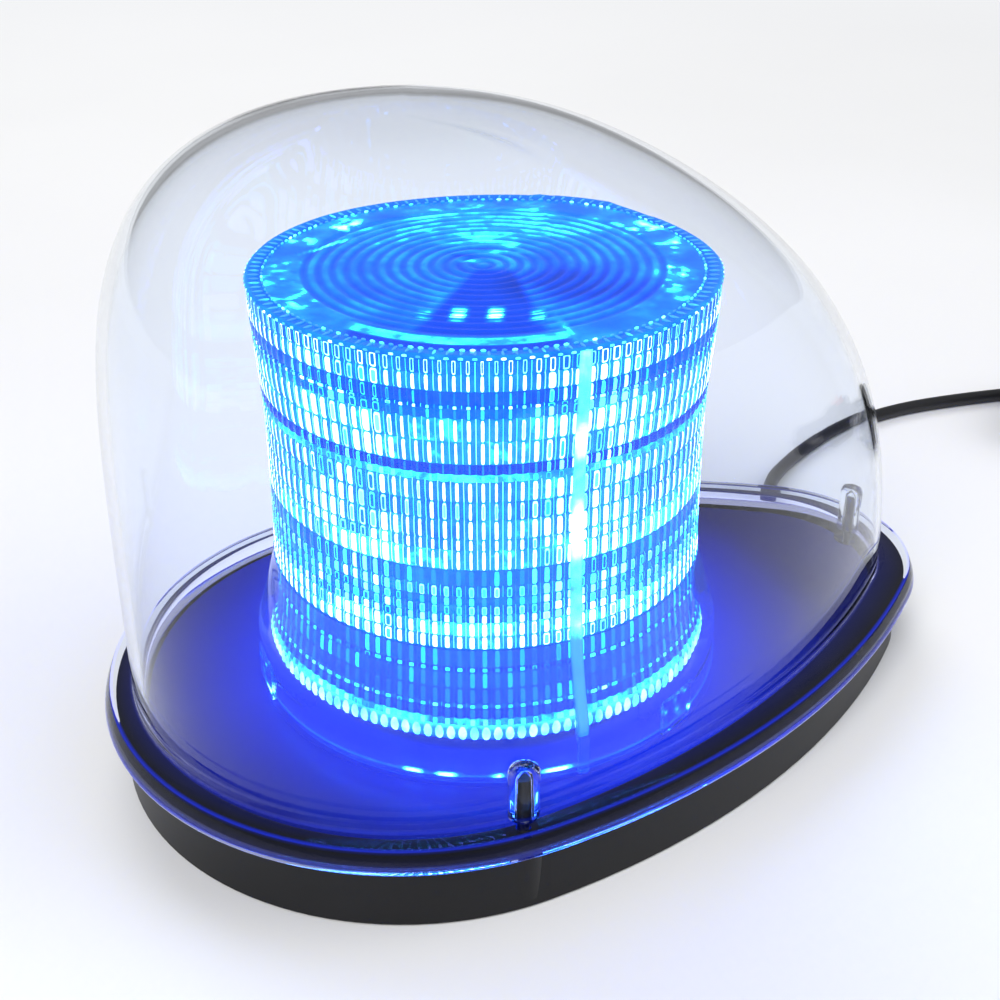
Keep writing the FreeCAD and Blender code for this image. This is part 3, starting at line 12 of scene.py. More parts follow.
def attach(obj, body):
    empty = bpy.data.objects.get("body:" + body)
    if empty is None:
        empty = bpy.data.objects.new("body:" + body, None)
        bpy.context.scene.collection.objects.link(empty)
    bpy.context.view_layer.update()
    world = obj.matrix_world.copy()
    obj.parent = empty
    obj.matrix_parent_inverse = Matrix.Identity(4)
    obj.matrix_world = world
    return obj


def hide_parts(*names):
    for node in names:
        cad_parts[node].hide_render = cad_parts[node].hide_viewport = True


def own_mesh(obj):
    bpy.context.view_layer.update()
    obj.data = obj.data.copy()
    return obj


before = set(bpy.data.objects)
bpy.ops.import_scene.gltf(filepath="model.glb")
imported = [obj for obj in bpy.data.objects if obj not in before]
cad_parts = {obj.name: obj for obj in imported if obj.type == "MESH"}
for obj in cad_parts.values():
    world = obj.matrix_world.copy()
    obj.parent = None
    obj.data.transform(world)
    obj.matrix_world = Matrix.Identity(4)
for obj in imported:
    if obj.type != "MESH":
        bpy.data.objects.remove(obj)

LOG = logging.getLogger("beacon")
MM = 0.001
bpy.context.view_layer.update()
BODY = "beacon"
WHITE_LIGHT = (0.9, 0.91, 0.93, 1.0)
# Painted blue light: the lens's light on the deck, where it fades, the painted shade inside the skirt, and
# the glow on clear edges.
PAINTED_GLOW_BLUE = (0.006, 0.035, 1.0, 1.0)
PAINTED_SPILL_FADE = (0.060, 0.098)
PAINTED_SKIRT_SHADE = (0.0455, 0.0485)
BLUE_STEPS = (
    (0.0, (0.003, 0.012, 0.26)),
    (0.2, (0.003, 0.065, 0.85)),
    (0.4, (0.005, 0.21, 1.0)),
    (0.6, (0.02, 0.56, 1.0)),
    (0.78, (0.035, 0.32, 1.0)),
    (1.0, (0.13, 0.17, 1.0)),
)
FAINT_STEPS = (
    (0.0, (0.0, 0.0, 0.02)),
    (0.25, (0.002, 0.03, 0.5)),
    (0.5, (0.005, 0.2, 1.0)),
    (0.78, (0.03, 0.30, 1.0)),
    (1.0, (0.13, 0.17, 1.0)),
)
SHINE_FROM, SHINE_TO, SHINE = 0.55, 1.0, 16.0
Socket = bpy.types.NodeSocket
Value = bpy.types.NodeSocket | float | tuple
Piece = bpy.types.Object


def metres(*values: float) -> tuple[float, ...]:
    """Turns sizes in millimetres into metres."""
    return tuple(value * MM for value in values)


def smooth(value: float) -> float:
    """Eases a share, cut to 0..1 first."""
    value = min(max(value, 0.0), 1.0)
    return value * value * (3.0 - 2.0 * value)


def mixed(low: float, high: float, share: float) -> float:
    """Gives the value that lies a share of the way from low to high."""
    return low + (high - low) * share


def bell(gap: float, width: float, power: int = 2) -> float:
    """Falls from 1 where the gap is 0 to nothing a little beyond the width."""
    return math.exp(-(gap / width) ** power)


def shaded(colour: tuple, share: float) -> tuple:
    """Gives a share of a colour."""
    return tuple(part * share for part in colour)


def turns(count: int) -> list[float]:
    """Lists the bearings of evenly spaced points on a circle, in radians."""
    return [2.0 * math.pi * step / count for step in range(count)]


def circle(radius: float, level: float, count: int, centre: tuple = (0.0, 0.0)) -> list[tuple]:
    """Lists a circle's points."""
    x, y = centre
    return [(x + radius * math.cos(turn), y + radius * math.sin(turn), level) for turn in turns(count)]


def added(name: str, data: bpy.types.ID) -> Piece:
    """Adds an object to the scene."""
    obj = bpy.data.objects.new(name, data)
    bpy.context.scene.collection.objects.link(obj)
    return obj


# ---------------------------------------------------------------- materials


class Nodes:
    """Fills a node tree with short calls."""

    def __init__(self, tree: bpy.types.NodeTree) -> None:
        """Keeps the tree."""
        self.tree = tree

    def add(self, kind: str, **inputs: Value) -> bpy.types.Node:
        """Adds a node and fills or links its inputs.

        Args:
            kind: The node's type name.
            inputs: Values or sockets, by socket name with spaces as underscores.

        Returns:
            The new node.
        """
        node = self.tree.nodes.new(kind)
        for name, value in inputs.items():
            self.feed(node, name.replace("_", " "), value)
        return node

    def feed(self, node: bpy.types.Node, name: str | int, value: Value) -> None:
        """Sets or links one input of a node.

        Args:
            node: The node.
            name: The input's name or number.
            value: The value, or the socket that it is linked to.
        """
        socket = node.inputs[name]
        if isinstance(value, Socket):
            self.tree.links.new(value, socket)
        else:
            socket.default_value = value

    def ordered(self, kind: str, *values: Value, **options: str) -> bpy.types.Node:
        """Adds a node whose inputs are filled in order.

        Args:
            kind: The node's type name.
            values: Values or sockets.
            options: The node's own settings.

        Returns:
            The new node.
        """
        node = self.add(kind)
        for name, option in options.items():
            setattr(node, name, option)
        for index, value in enumerate(values):
            self.feed(node, index, value)
        return node

    def math(self, operation: str, *values: Value) -> Socket:
        """Gives the result of a Math node."""
        return self.ordered("ShaderNodeMath", *values, operation=operation).outputs[0]

    def times(self, first: Value, *others: Value) -> Socket:
        """Multiplies values one after the other."""
        for other in others:
            first = self.math("MULTIPLY", first, other)
        return first

    def cut(self, value: Value) -> Socket:
        """Cuts a value to 0..1."""
        return self.math("MINIMUM", self.math("MAXIMUM", value, 0.0), 1.0)


class Paint(Nodes):
    """Builds one material's node tree."""

    def __init__(self, name: str) -> None:
        """Starts an empty material.

        Args:
            name: The material's name.
        """
        self.material = bpy.data.materials.new(name)
        self.material.use_nodes = True
        super().__init__(self.material.node_tree)
        self.tree.nodes.clear()
        self.output = self.add("ShaderNodeOutputMaterial")

    def place(self) -> Socket:
        """Gives the object's own coordinates."""
        return self.add("ShaderNodeTexCoord").outputs["Object"]

    def vector(self, operation: str, *values: Value) -> Socket:
        """Gives the number that a Vector Math node makes."""
        return self.ordered("ShaderNodeVectorMath", *values, operation=operation).outputs["Value"]

    def speckle(self, scale: float, detail: float = 2.0, stretch: tuple = (1.0, 1.0, 1.0)) -> Socket:
        """Gives a noise value in the object's coordinates.

        Args:
            scale: The noise's scale, in waves per metre.
            detail: The noise's detail.
            stretch: How the coordinates are scaled before it.

        Returns:
            The noise's value socket.
        """
        mapping = self.add("ShaderNodeMapping", Vector=self.place(), Scale=stretch)
        grain = self.add("ShaderNodeTexNoise", Vector=mapping.outputs[0], Scale=scale, Detail=detail)
        return grain.outputs[0]

    def ramp(self, value: Socket, *stops: tuple) -> Socket:
        """Turns a value into a colour.

        Args:
            value: The socket that is read.
            stops: Positions and colours.

        Returns:
            The colour socket.
        """
        node = self.add("ShaderNodeValToRGB", Fac=value)
        elements = node.color_ramp.elements
        while len(elements) < len(stops):
            elements.new(0.5)
        for element, (position, colour) in zip(elements, stops):
            element.position = position
            element.color = (*colour, 1.0)
        return node.outputs[0]

    def scaled(self, value: Socket, low: float, high: float, start: float = 0.0, end: float = 1.0) -> Socket:
        """Maps a value.

        Args:
            value: The socket that is read.
            low: What start becomes.
            high: What end becomes.
            start: Where the value starts.
            end: Where it ends.

        Returns:
            The mapped value, cut to low..high.
        """
        spans = {"From_Min": start, "From_Max": end, "To_Min": low, "To_Max": high}
        return self.add("ShaderNodeMapRange", Value=value, **spans).outputs[0]

    def stored(self, name: str, output: str = "Fac") -> Socket:
        """Reads a value stored on the mesh."""
        return self.ordered("ShaderNodeAttribute", attribute_name=name).outputs[output]

    def parts(self, name: str) -> bpy.types.NodeOutputs:
        """Reads three values stored on the mesh."""
        return self.add("ShaderNodeSeparateXYZ", Vector=self.stored(name, "Vector")).outputs

    def shine(self, level: Socket) -> Socket:
        """Gives the strength of a lit spot: the brightest ones shine far past white."""
        return self.scaled(level, 1.0, SHINE, SHINE_FROM, SHINE_TO)

    def bump(self, height: Socket, strength: float, distance: float) -> Socket:
        """Gives a bumped normal."""
        return self.add("ShaderNodeBump", Height=height, Strength=strength, Distance=distance).outputs[0]

    def surface(self, **inputs: Value) -> Socket:
        """Adds the main shader."""
        return self.add("ShaderNodeBsdfPrincipled", **inputs).outputs[0]

    def mix(self, *inputs: Value) -> Socket:
        """Mixes two shaders, which follow the share of the second."""
        return self.ordered("ShaderNodeMixShader", *inputs).outputs[0]

    def shade_free(self, shader: Socket, tint: tuple) -> Socket:
        """Lets lamplight through a clear surface, tinted."""
        clear = self.add("ShaderNodeBsdfTransparent", Color=(*tint, 1.0)).outputs[0]
        return self.mix(self.add("ShaderNodeLightPath").outputs["Is Shadow Ray"], shader, clear)

    def close(self, shader: Socket) -> bpy.types.Material:
        """Links the surface and gives the material."""
        self.tree.links.new(shader, self.output.inputs["Surface"])
        return self.material


@dataclass(frozen=True)
class Finish:
    """A finish that parts share."""

    name: str

    def build(self) -> bpy.types.Material:
        """Gives the material, made at the first call.

        Returns:
            The shared material.
        """
        name = "look_" + self.name
        found = bpy.data.materials.get(name)
        if found is None:
            nodes = Paint(name)
            found = nodes.close(self.shader(nodes))
        return found

    def shader(self, nodes: Paint) -> Socket:
        """Builds the shader, which each kind of finish does its own way."""
        raise NotImplementedError


@dataclass(frozen=True)
class Plastic(Finish):
    """Moulded plastic or rubber with a fine grain."""

    colour: tuple
    roughness: float
    grain: float
    relief: float
    gloss: float = 0.5
    painted_spill: float = 0.0
    patchy = 0.18

    def shader(self, nodes: Paint) -> Socket:
        """Builds the shader.

        Args:
            nodes: The material's nodes.

        Returns:
            Its output.
        """
        cloud = nodes.speckle(38.0, 4.0)
        low = shaded(self.colour, 1.0 - self.patchy)
        high = tuple(min(part + 0.002, 1.0) for part in shaded(self.colour, 1.0 + self.patchy))
        glow = {}
        # Painted blue light from the lens, given only to the deck's finish.
        if self.painted_spill > 0.0:
            glow = {"Emission_Color": PAINTED_GLOW_BLUE, "Emission_Strength": self.painted_lens_spill(nodes)}
        return nodes.surface(
            Base_Color=nodes.ramp(cloud, (0.3, low), (0.7, high)),
            Roughness=nodes.scaled(cloud, self.roughness * 0.85, min(self.roughness * 1.15, 1.0)),
            Normal=nodes.bump(nodes.speckle(self.grain, 3.0), self.relief, 0.0002),
            Specular_IOR_Level=self.gloss,
            **glow,
        )

    def painted_lens_spill(self, nodes: Paint) -> Socket:
        """Gives the strength of the lens's light painted on a spot of the deck, in blue.

        Args:
            nodes: The material's nodes.

        Returns:
            The strength, which fades away from the lens's foot and is lowered inside its skirt as painted
            shade.
        """
        flat = nodes.ordered("ShaderNodeVectorMath", nodes.place(), (1.0, 1.0, 0.0), operation="MULTIPLY")
        reach = nodes.vector("LENGTH", flat.outputs[0])
        fade = nodes.math("POWER", nodes.scaled(reach, 1.0, 0.0, *PAINTED_SPILL_FADE), 1.6)
        # Painted shade inside the lens's skirt.
        under = nodes.scaled(reach, 0.42, 1.0, *PAINTED_SKIRT_SHADE)
        cloud = nodes.scaled(nodes.speckle(30.0), 0.8, 1.2)
        return nodes.times(fade, under, cloud, self.painted_spill)


@dataclass(frozen=True)
class Metal(Finish):
    """Plated or turned metal with fine brushing."""

    colour: tuple
    roughness: float

    def shader(self, nodes: Paint) -> Socket:
        """Builds the shader.

        Args:
            nodes: The material's nodes.

        Returns:
            Its output.
        """
        lines = nodes.speckle(420.0, 3.0, (1.0, 1.0, 18.0))
        spots = nodes.speckle(90.0, 4.0)
        return nodes.surface(
            Base_Color=nodes.ramp(spots, (0.35, shaded(self.colour, 0.82)), (0.65, self.colour)),
            Metallic=1.0,
            Roughness=nodes.scaled(lines, self.roughness * 0.7, self.roughness * 1.35),
            Normal=nodes.bump(lines, 0.12, 0.0001),
        )


@dataclass(frozen=True)
class Board(Finish):
    """A printed circuit board with faint traces under its mask."""

    colour: tuple
    glow: float = 0.0

    def shader(self, nodes: Paint) -> Socket:
        """Builds the shader.

        Args:
            nodes: The material's nodes.

        Returns:
            Its output.
        """
        cells = nodes.add("ShaderNodeTexVoronoi", Vector=nodes.place(), Scale=420.0)
        cells.distance = "CHEBYCHEV"
        traces = nodes.math("LESS_THAN", cells.outputs["Distance"], 0.22)
        return nodes.surface(
            Base_Color=nodes.ramp(traces, (0.0, self.colour), (1.0, shaded(self.colour, 0.7))),
            Roughness=0.34,
            Normal=nodes.bump(traces, 0.3, 0.00003),
            # Painted blue glow of the LEDs' light on the board.
            Emission_Color=(0.02, 0.25, 1.0, 1.0),
            Emission_Strength=self.glow,
        )


@dataclass(frozen=True)
class Glow(Finish):
    """Lit LED packages: a bright die in a pale body, dimmer away from the bearing, where it has one."""

    strength: float = 9.0
    bearing: float | None = None

    def shader(self, nodes: Paint) -> Socket:
        """Builds the shader.

        Args:
            nodes: The material's nodes.

        Returns:
            Its output.
        """
        die = nodes.speckle(900.0, 1.0)
        strength = self.strength
        if self.bearing is not None:
            turn = math.radians(self.bearing)
            facing = nodes.vector("DOT_PRODUCT", nodes.place(), (math.cos(turn), math.sin(turn), 0.0))
            strength = nodes.scaled(nodes.math("GREATER_THAN", facing, 0.0185), 0.35, self.strength)
        return nodes.surface(
            Base_Color=(0.55, 0.62, 0.70, 1.0),
            Roughness=0.3,
            Emission_Color=nodes.ramp(die, (0.3, (0.10, 0.16, 1.0)), (0.7, (0.13, 0.22, 1.0))),
            Emission_Strength=strength,
        )


@dataclass(frozen=True)
class Clear(Finish):
    """Clear moulded plastic that lamplight passes through, with a painted glow along its edges."""

    tint: tuple = (0.93, 0.96, 1.0)
    roughness: float = 0.02
    index: float = 1.26
    gloss: float = 0.25
    edge_light: float = 0.6

    def shader(self, nodes: Paint) -> Socket:
        """Builds the shader.

        Args:
            nodes: The material's nodes.

        Returns:
            Its output.
        """
        shader = nodes.surface(
            Base_Color=(*self.tint, 1.0),
            Roughness=nodes.scaled(nodes.speckle(2400.0), self.roughness * 0.5, self.roughness * 1.5),
            IOR=self.index,
            Normal=nodes.bump(nodes.speckle(26.0), 0.02, 0.002),
            Specular_IOR_Level=self.gloss,
            Transmission_Weight=1.0,
            Emission_Color=PAINTED_GLOW_BLUE,
            Emission_Strength=nodes.times(nodes.stored("light"), self.edge_light),
        )
        return nodes.shade_free(shader, self.tint)


@dataclass(frozen=True)
class LitLens(Finish):
    """Clear lens plastic whose cells carry the light of the LEDs behind them."""

    block_half: float = 0.495
    block_soft: float = 0.55
    hole_half: float = 0.36
    hole_soft: float = 0.4
    hole_share: float = 0.6
    hole_depth: float = 0.62
    edge_from: float = 0.435
    edge_fade: float = 0.045
    edge_light: float = 0.72

    def shader(self, nodes: Paint) -> Socket:
        """Builds the shader: each cell has a bright block, a dimmer hole in it and a line at its sides.

        Args:
            nodes: The material's nodes.

        Returns:
            Its output.
        """
        side, height, width = nodes.parts("cell")
        shine, hollow, ground = nodes.parts("glow")
        width = nodes.math("ADD", width, nodes.scaled(nodes.speckle(620.0), -0.035, 0.035))
        across = nodes.math("ABSOLUTE", nodes.math("SUBTRACT", side, 0.5))
        along = nodes.math("ABSOLUTE", nodes.math("SUBTRACT", height, 0.5))
        core = self.block(nodes, (across, along), width, self.block_half, self.block_soft)
        slim = nodes.times(width, self.hole_share)
        hole = self.block(nodes, (across, along), slim, self.hole_half, self.hole_soft)
        hole = nodes.times(hole, hollow, self.hole_depth)
        bright = nodes.times(nodes.math("SUBTRACT", core, hole), shine)
        edge = nodes.math("DIVIDE", nodes.math("SUBTRACT", across, self.edge_from), self.edge_fade)
        edge = nodes.times(nodes.cut(edge), shine, self.edge_light)
        low = nodes.times(ground, nodes.scaled(nodes.speckle(310.0, 3.0), 0.72, 1.28))
        level = nodes.math("MAXIMUM", nodes.math("MAXIMUM", bright, edge), low)
        shader = nodes.surface(
            Base_Color=(0.0, 0.015, 0.12, 1.0),
            Roughness=0.1,
            IOR=1.49,
            Specular_IOR_Level=0.25,
            Emission_Color=nodes.ramp(level, *BLUE_STEPS),
            Emission_Strength=nodes.shine(level),
        )
        return nodes.shade_free(shader, (0.3, 0.7, 1.0))

    def block(self, nodes: Paint, spot: tuple, width: Socket, height: float, soft: float) -> Socket:
        """Draws a block with rounded corners.

        Args:
            nodes: The material's nodes.
            spot: The distances from the cell's middle, sideways and upwards.
            width: Half the block's width.
            height: Half the block's height.
            soft: How soft its edge is.

        Returns:
            The socket that is 1 in the block.
        """
        wide = nodes.math("POWER", nodes.math("DIVIDE", spot[0], width), 4.0)
        tall = nodes.math("POWER", nodes.math("DIVIDE", spot[1], height), 6.0)
        inside = nodes.math("SUBTRACT", 1.0, nodes.math("ADD", wide, tall))
        return nodes.cut(nodes.math("DIVIDE", inside, soft))


@dataclass(frozen=True)
class GlowGlass(Finish):
    """Clear lens plastic that glows a little along its ridges."""

    tint: tuple
    roughness: float
    strength: float
    clear: float
    steps: tuple = FAINT_STEPS
    index: float = 1.47
    gloss: float = 0.3

    def shader(self, nodes: Paint) -> Socket:
        """Builds the shader.

        Args:
            nodes: The material's nodes.

        Returns:
            Its output.
        """
        level = nodes.times(nodes.stored("light"), nodes.scaled(nodes.speckle(240.0, 3.0), 0.7, 1.3))
        shader = nodes.surface(
            Base_Color=(*self.tint, 1.0),
            Roughness=self.roughness,
            IOR=self.index,
            Specular_IOR_Level=self.gloss,
            Transmission_Weight=self.clear,
            Emission_Color=nodes.ramp(level, *self.steps),
            Emission_Strength=nodes.times(nodes.shine(level), self.strength),
        )
        return nodes.shade_free(shader, self.tint)


class Look(Enum):
    """The finishes that the parts share."""

    SHELL = Plastic("black_shell", (0.0045, 0.0045, 0.006), 0.36, 2400.0, 0.10, 0.3)
    # The deck's black is tinted navy as painted blue light from the lens, and it carries painted light round
    # the lens's foot.
    BLUE_LIT_DECK = Plastic("deck_painted_blue_light", (0.002, 0.004, 0.075), 0.20, 1800.0, 0.05, 0.07, 0.75)
    RUBBER = Plastic("black_rubber", (0.014, 0.014, 0.015), 0.78, 1500.0, 0.35)
    CORD = Plastic("black_cord", (0.011, 0.011, 0.012), 0.46, 3200.0, 0.10)
    GRIP = Plastic("plug_black", (0.012, 0.012, 0.013), 0.5, 2000.0, 0.22)
    RED = Plastic("red_key", (0.55, 0.02, 0.015), 0.32, 2600.0, 0.04)
    GREY = Plastic("grey_key", (0.22, 0.22, 0.23), 0.4, 2600.0, 0.06)
    FERRITE = Plastic("ferrite", (0.035, 0.034, 0.036), 0.6, 900.0, 0.3)
    CHIP = Plastic("chip_black", (0.02, 0.02, 0.022), 0.5, 3000.0, 0.1)
    TERMINAL = Plastic("terminal_green", (0.02, 0.22, 0.07), 0.4, 2600.0, 0.05)
    ZINC = Metal("zinc_steel", (0.62, 0.63, 0.64), 0.32)
    # Steel much darker than the zinc screws, for the screws in the clear bosses.
    DARK_STEEL = Metal("dark_steel", (0.035, 0.036, 0.042), 0.34)
    CUP = Metal("magnet_cup", (0.55, 0.56, 0.57), 0.38)
    ALUMINIUM = Metal("aluminium", (0.72, 0.73, 0.75), 0.36)
    NICKEL = Metal("nickel_tip", (0.72, 0.70, 0.66), 0.2)
    COPPER = Metal("copper_winding", (0.72, 0.34, 0.16), 0.35)
    LED_BOARD = Board("led_board", (0.02, 0.06, 0.22), 0.6)
    GREEN_BOARD = Board("green_board", (0.015, 0.12, 0.05))
    LED = Glow("led_package")
    TOP_LED = Glow("top_led", 12.0, 240.0)
    DOME = Clear("clear_dome")
    LENS = LitLens("fluted_lens")
    LENS_TOP = GlowGlass("lens_top", (0.004, 0.03, 0.2), 0.2, 1.0, 0.0, BLUE_STEPS, gloss=0.12)
    BEADS = GlowGlass("lens_beads", (0.1, 0.4, 1.0), 0.1, 1.0, 0.1)
    LENS_SKIRT = GlowGlass("lens_skirt", (0.45, 0.72, 1.0), 0.04, 0.8, 0.97, index=1.22)


LOOK_NODES = {
    Look.SHELL: ("base_housing", "plug_nose_cap"),
    Look.RUBBER: ("foot_pad", "dome_gasket", "cord_grommet", "plug_relief"),
    Look.CUP: ("magnet_cup",),
    Look.FERRITE: ("magnet_rings",),
    Look.ZINC: ("magnet_screws", "magnet_nuts", "tower_screws", "top_screw", "driver_screws"),
    Look.BLUE_LIT_DECK: ("deck_plate", "lens_seal"),
    Look.DOME: ("outer_dome",),
    Look.DARK_STEEL: ("dome_screws",),
    Look.ALUMINIUM: ("tower_foot", "tower_core", "centre_post", "driver_capacitors"),
    Look.LED_BOARD: ("side_board", "top_board"),
    Look.LED: ("side_leds",),
    Look.TOP_LED: ("top_leds",),
    Look.GREEN_BOARD: ("driver_board", "plug_board"),
    Look.COPPER: ("driver_inductor",),
    Look.CHIP: ("driver_chips", "plug_fuse", "rocker_switch", "button_switch"),
    Look.TERMINAL: ("terminal_block",),
    Look.GREY: ("harness_socket", "plug_button"),
    Look.RED: ("tower_harness", "plug_rocker"),
    Look.CORD: ("inner_lead",),
    Look.GRIP: ("plug_upper_shell", "plug_lower_shell"),
    Look.NICKEL: ("plug_tip", "plug_ground_contacts"),
}


def paint(obj: Piece, look: Look) -> None:
    """Gives an object one finish."""
    obj.data.materials.clear()
    obj.data.materials.append(look.value.build())


def paint_frame() -> None:
    """Gives every carried-over part its finish."""
    for name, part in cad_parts.items():
        for look, starts in LOOK_NODES.items():
            if name.startswith(starts):
                for slot in part.material_slots:
                    slot.link = "OBJECT"
                    slot.material = look.value.build()


# ---------------------------------------------------------------- mesh help


class Sheet:
    """A mesh that grows from rings of points."""

    def __init__(self) -> None:
        """Starts with no points."""
        self.points: list[tuple] = []
        self.faces: list[tuple] = []
        self.light: list[float] = []

    def ring(self, points: list[tuple], light: list[float] | float = 0.0) -> int:
        """Adds a ring of points.

        Args:
            points: The points, in millimetres.
            light: One light value for all, or one each.

        Returns:
            The first point's index.
        """
        first = len(self.points)
        self.points += points
        self.light += light if isinstance(light, list) else [light] * len(points)
        return first

    def circles(self, profile: list[tuple] | tuple, count: int, centre: tuple = (0.0, 0.0)) -> list[int]:
        """Adds a circle for each radius, level and light of a profile."""
        return [self.ring(circle(radius, level, count, centre), *light) for radius, level, *light in profile]

    def join(self, rings: list[int], count: int, closed: bool = False) -> None:
        """Closes the bands between rings of the same count.

        Args:
            rings: The rings' first points.
            count: The points in a ring.
            closed: Whether the last ring joins the first.
        """
        for low, high in zip(rings, rings[1:] + rings[:1] if closed else rings[1:]):
            for step in range(count):
                after = (step + 1) % count
                self.faces.append((low + step, low + after, high + after, high + step))

    def ends(self, rings: list[int], count: int) -> None:
        """Closes the first and the last ring with one flat face each."""
        self.faces.append(tuple(range(rings[0], rings[0] + count)))
        self.faces.append(tuple(range(rings[-1] + count - 1, rings[-1] - 1, -1)))

    def fan(self, ring: int, centre: tuple, count: int, upwards: bool, light: float = 0.0) -> None:
        """Closes a ring with a fan to one point.

        Args:
            ring: The ring's first point.
            centre: The fan's middle.
            count: The points in the ring.
            upwards: Whether the faces look up.
            light: The middle's light value.
        """
        middle = self.ring([centre], light)
        for step in range(count):
            after = (step + 1) % count
            edge = (ring + step, ring + after) if upwards else (ring + after, ring + step)
            self.faces.append((*edge, middle))

    def build(self, name: str, look: Look, flat: bool = False) -> Piece:
        """Makes the object, rides the base body, and logs it.

        Args:
            name: The object's name.
            look: Its finish.
            flat: Whether its faces are flat shaded.

        Returns:
            The new object.
        """
        mesh = bpy.data.meshes.new(name)
        mesh.from_pydata([metres(*point) for point in self.points], [], self.faces)
        layer = mesh.attributes.new("light", "FLOAT", "POINT")
        layer.data.foreach_set("value", self.light)
        form = bmesh.new()
        form.from_mesh(mesh)
        bmesh.ops.recalc_face_normals(form, faces=form.faces)
        form.to_mesh(mesh)
        form.free()
        for face in mesh.polygons:
            face.use_smooth = not flat
        obj = added(name, mesh)
        paint(obj, look)
        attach(obj, BODY)
        LOG.info("%s: %d faces", name, len(mesh.polygons))
        return obj


def chance(*key: int) -> float:
    """Gives the same 0..1 number for the same whole numbers."""
    return noise.cell(Vector([part * 1.37 + 0.5 for part in key] + [0.5] * (3 - len(key))))


@dataclass(frozen=True)
class StudRing:
    """A ring of small rounded studs, in millimetres, made by one Geometry Nodes tree."""

    name: str
    count: int
    radius: float
    level: float
    half: tuple
    dim: float
    bright: float
    seed: int
    look: Look

    @staticmethod
    def tree() -> bpy.types.NodeTree:
        """Gives the shared tree, built once.

        Returns:
            The tree, whose inputs are the ring's own values.
        """
        found = bpy.data.node_groups.get("stud ring")
        if found is not None:
            return found
        group = bpy.data.node_groups.new("stud ring", "GeometryNodeTree")
        nodes = Nodes(group)
        sockets = (
            ("Count", "NodeSocketInt"), ("Radius", "NodeSocketFloat"), ("Level", "NodeSocketFloat"),
            ("Half Size", "NodeSocketVector"), ("Dim", "NodeSocketFloat"), ("Bright", "NodeSocketFloat"),
            ("Seed", "NodeSocketInt"), ("Finish", "NodeSocketMaterial"),
        )
        for name, kind in sockets:
            group.interface.new_socket(name, in_out="INPUT", socket_type=kind)
        group.interface.new_socket("Studs", in_out="OUTPUT", socket_type="NodeSocketGeometry")
        enter = nodes.add("NodeGroupInput").outputs
        ring = nodes.add("GeometryNodeMeshCircle", Vertices=enter["Count"], Radius=enter["Radius"])
        lift = nodes.add("ShaderNodeCombineXYZ", Z=enter["Level"])
        raised = nodes.add("GeometryNodeTransform", Geometry=ring.outputs[0], Translation=lift.outputs[0])
        step = nodes.math("DIVIDE", 2.0 * math.pi, enter["Count"])
        turn = nodes.times(nodes.add("GeometryNodeInputIndex").outputs[0], step)
        stud = nodes.add("GeometryNodeMeshUVSphere", Segments=8, Rings=6, Radius=1.0)
        placed = nodes.add(
            "GeometryNodeInstanceOnPoints",
            Points=raised.outputs[0],
            Instance=nodes.add("GeometryNodeSetShadeSmooth", Geometry=stud.outputs[0]).outputs[0],
            Rotation=nodes.add("ShaderNodeCombineXYZ", Z=turn).outputs[0],
            Scale=enter["Half Size"],
        )
        chosen = nodes.add("FunctionNodeRandomValue")
        chosen.data_type = "FLOAT"
        live = {socket.name: socket for socket in chosen.inputs if socket.enabled}
        for name, source in (("Min", "Dim"), ("Max", "Bright"), ("Seed", "Seed")):
            nodes.tree.links.new(enter[source], live[name])
        store = nodes.add("GeometryNodeStoreNamedAttribute")
        store.data_type = "FLOAT"
        store.domain = "INSTANCE"
        value = next(socket for socket in chosen.outputs if socket.enabled)
        for name, source in (("Name", "light"), ("Geometry", placed.outputs[0]), ("Value", value)):
            nodes.feed(store, name, source)
        real = nodes.add("GeometryNodeRealizeInstances", Geometry=store.outputs[0])
        done = nodes.add("GeometryNodeSetMaterial", Geometry=real.outputs[0], Material=enter["Finish"])
        nodes.feed(nodes.add("NodeGroupOutput"), 0, done.outputs[0])
        return group

    def build(self) -> Piece:
        """Makes the ring a plain mesh that rides the base body.

        Returns:
            The new object.
        """
        obj = added(self.name, bpy.data.meshes.new(self.name))
        ring = obj.modifiers.new("studs", "NODES")
        ring.node_group = self.tree()
        wanted = {
            "Count": self.count, "Radius": self.radius * MM, "Level": self.level * MM,
            "Half Size": metres(*self.half), "Dim": self.dim, "Bright": self.bright,
            "Seed": self.seed, "Finish": self.look.value.build(),
        }
        for socket in ring.node_group.interface.items_tree:
            if socket.in_out == "INPUT":
                ring[socket.identifier] = wanted[socket.name]
        mesh = bpy.data.meshes.new_from_object(obj.evaluated_get(bpy.context.evaluated_depsgraph_get()))
        obj.modifiers.clear()
        obj.data = mesh
        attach(obj, BODY)
        LOG.info("%s: %d studs, %d faces", self.name, self.count, len(mesh.polygons))
        return obj


# ---------------------------------------------------------------- the dome


@dataclass(frozen=True)
class DomeSizes:
    """The clear dome, in millimetres: an egg in plan that draws in as it rises."""

    front_radius: float = 79.6
    front_centre: float = -20.5
    tail_radius: float = 39.8
    tail_centre: float = 93.2
    side_radius: float = 225.7
    foot: float = 19.0
    rim: float = 24.5
    height: float = 142.2
    wall: float = 2.5
    inset: float = 5.8
    tail_inset: float = 10.3
    crown: float = 5.0
    shoulder: float = 0.96
    boss_radius: float = 3.8
    boss_foot: float = 24.6
    boss_top: float = 38.2
    bore: tuple = ((0.3, 36.4), (1.6, 35.6), (1.6, 24.6))
    bore_top: float = 36.5
    bosses: tuple = ((-24.9, 72.3), (-24.9, -72.3), (121.3, 0.0))


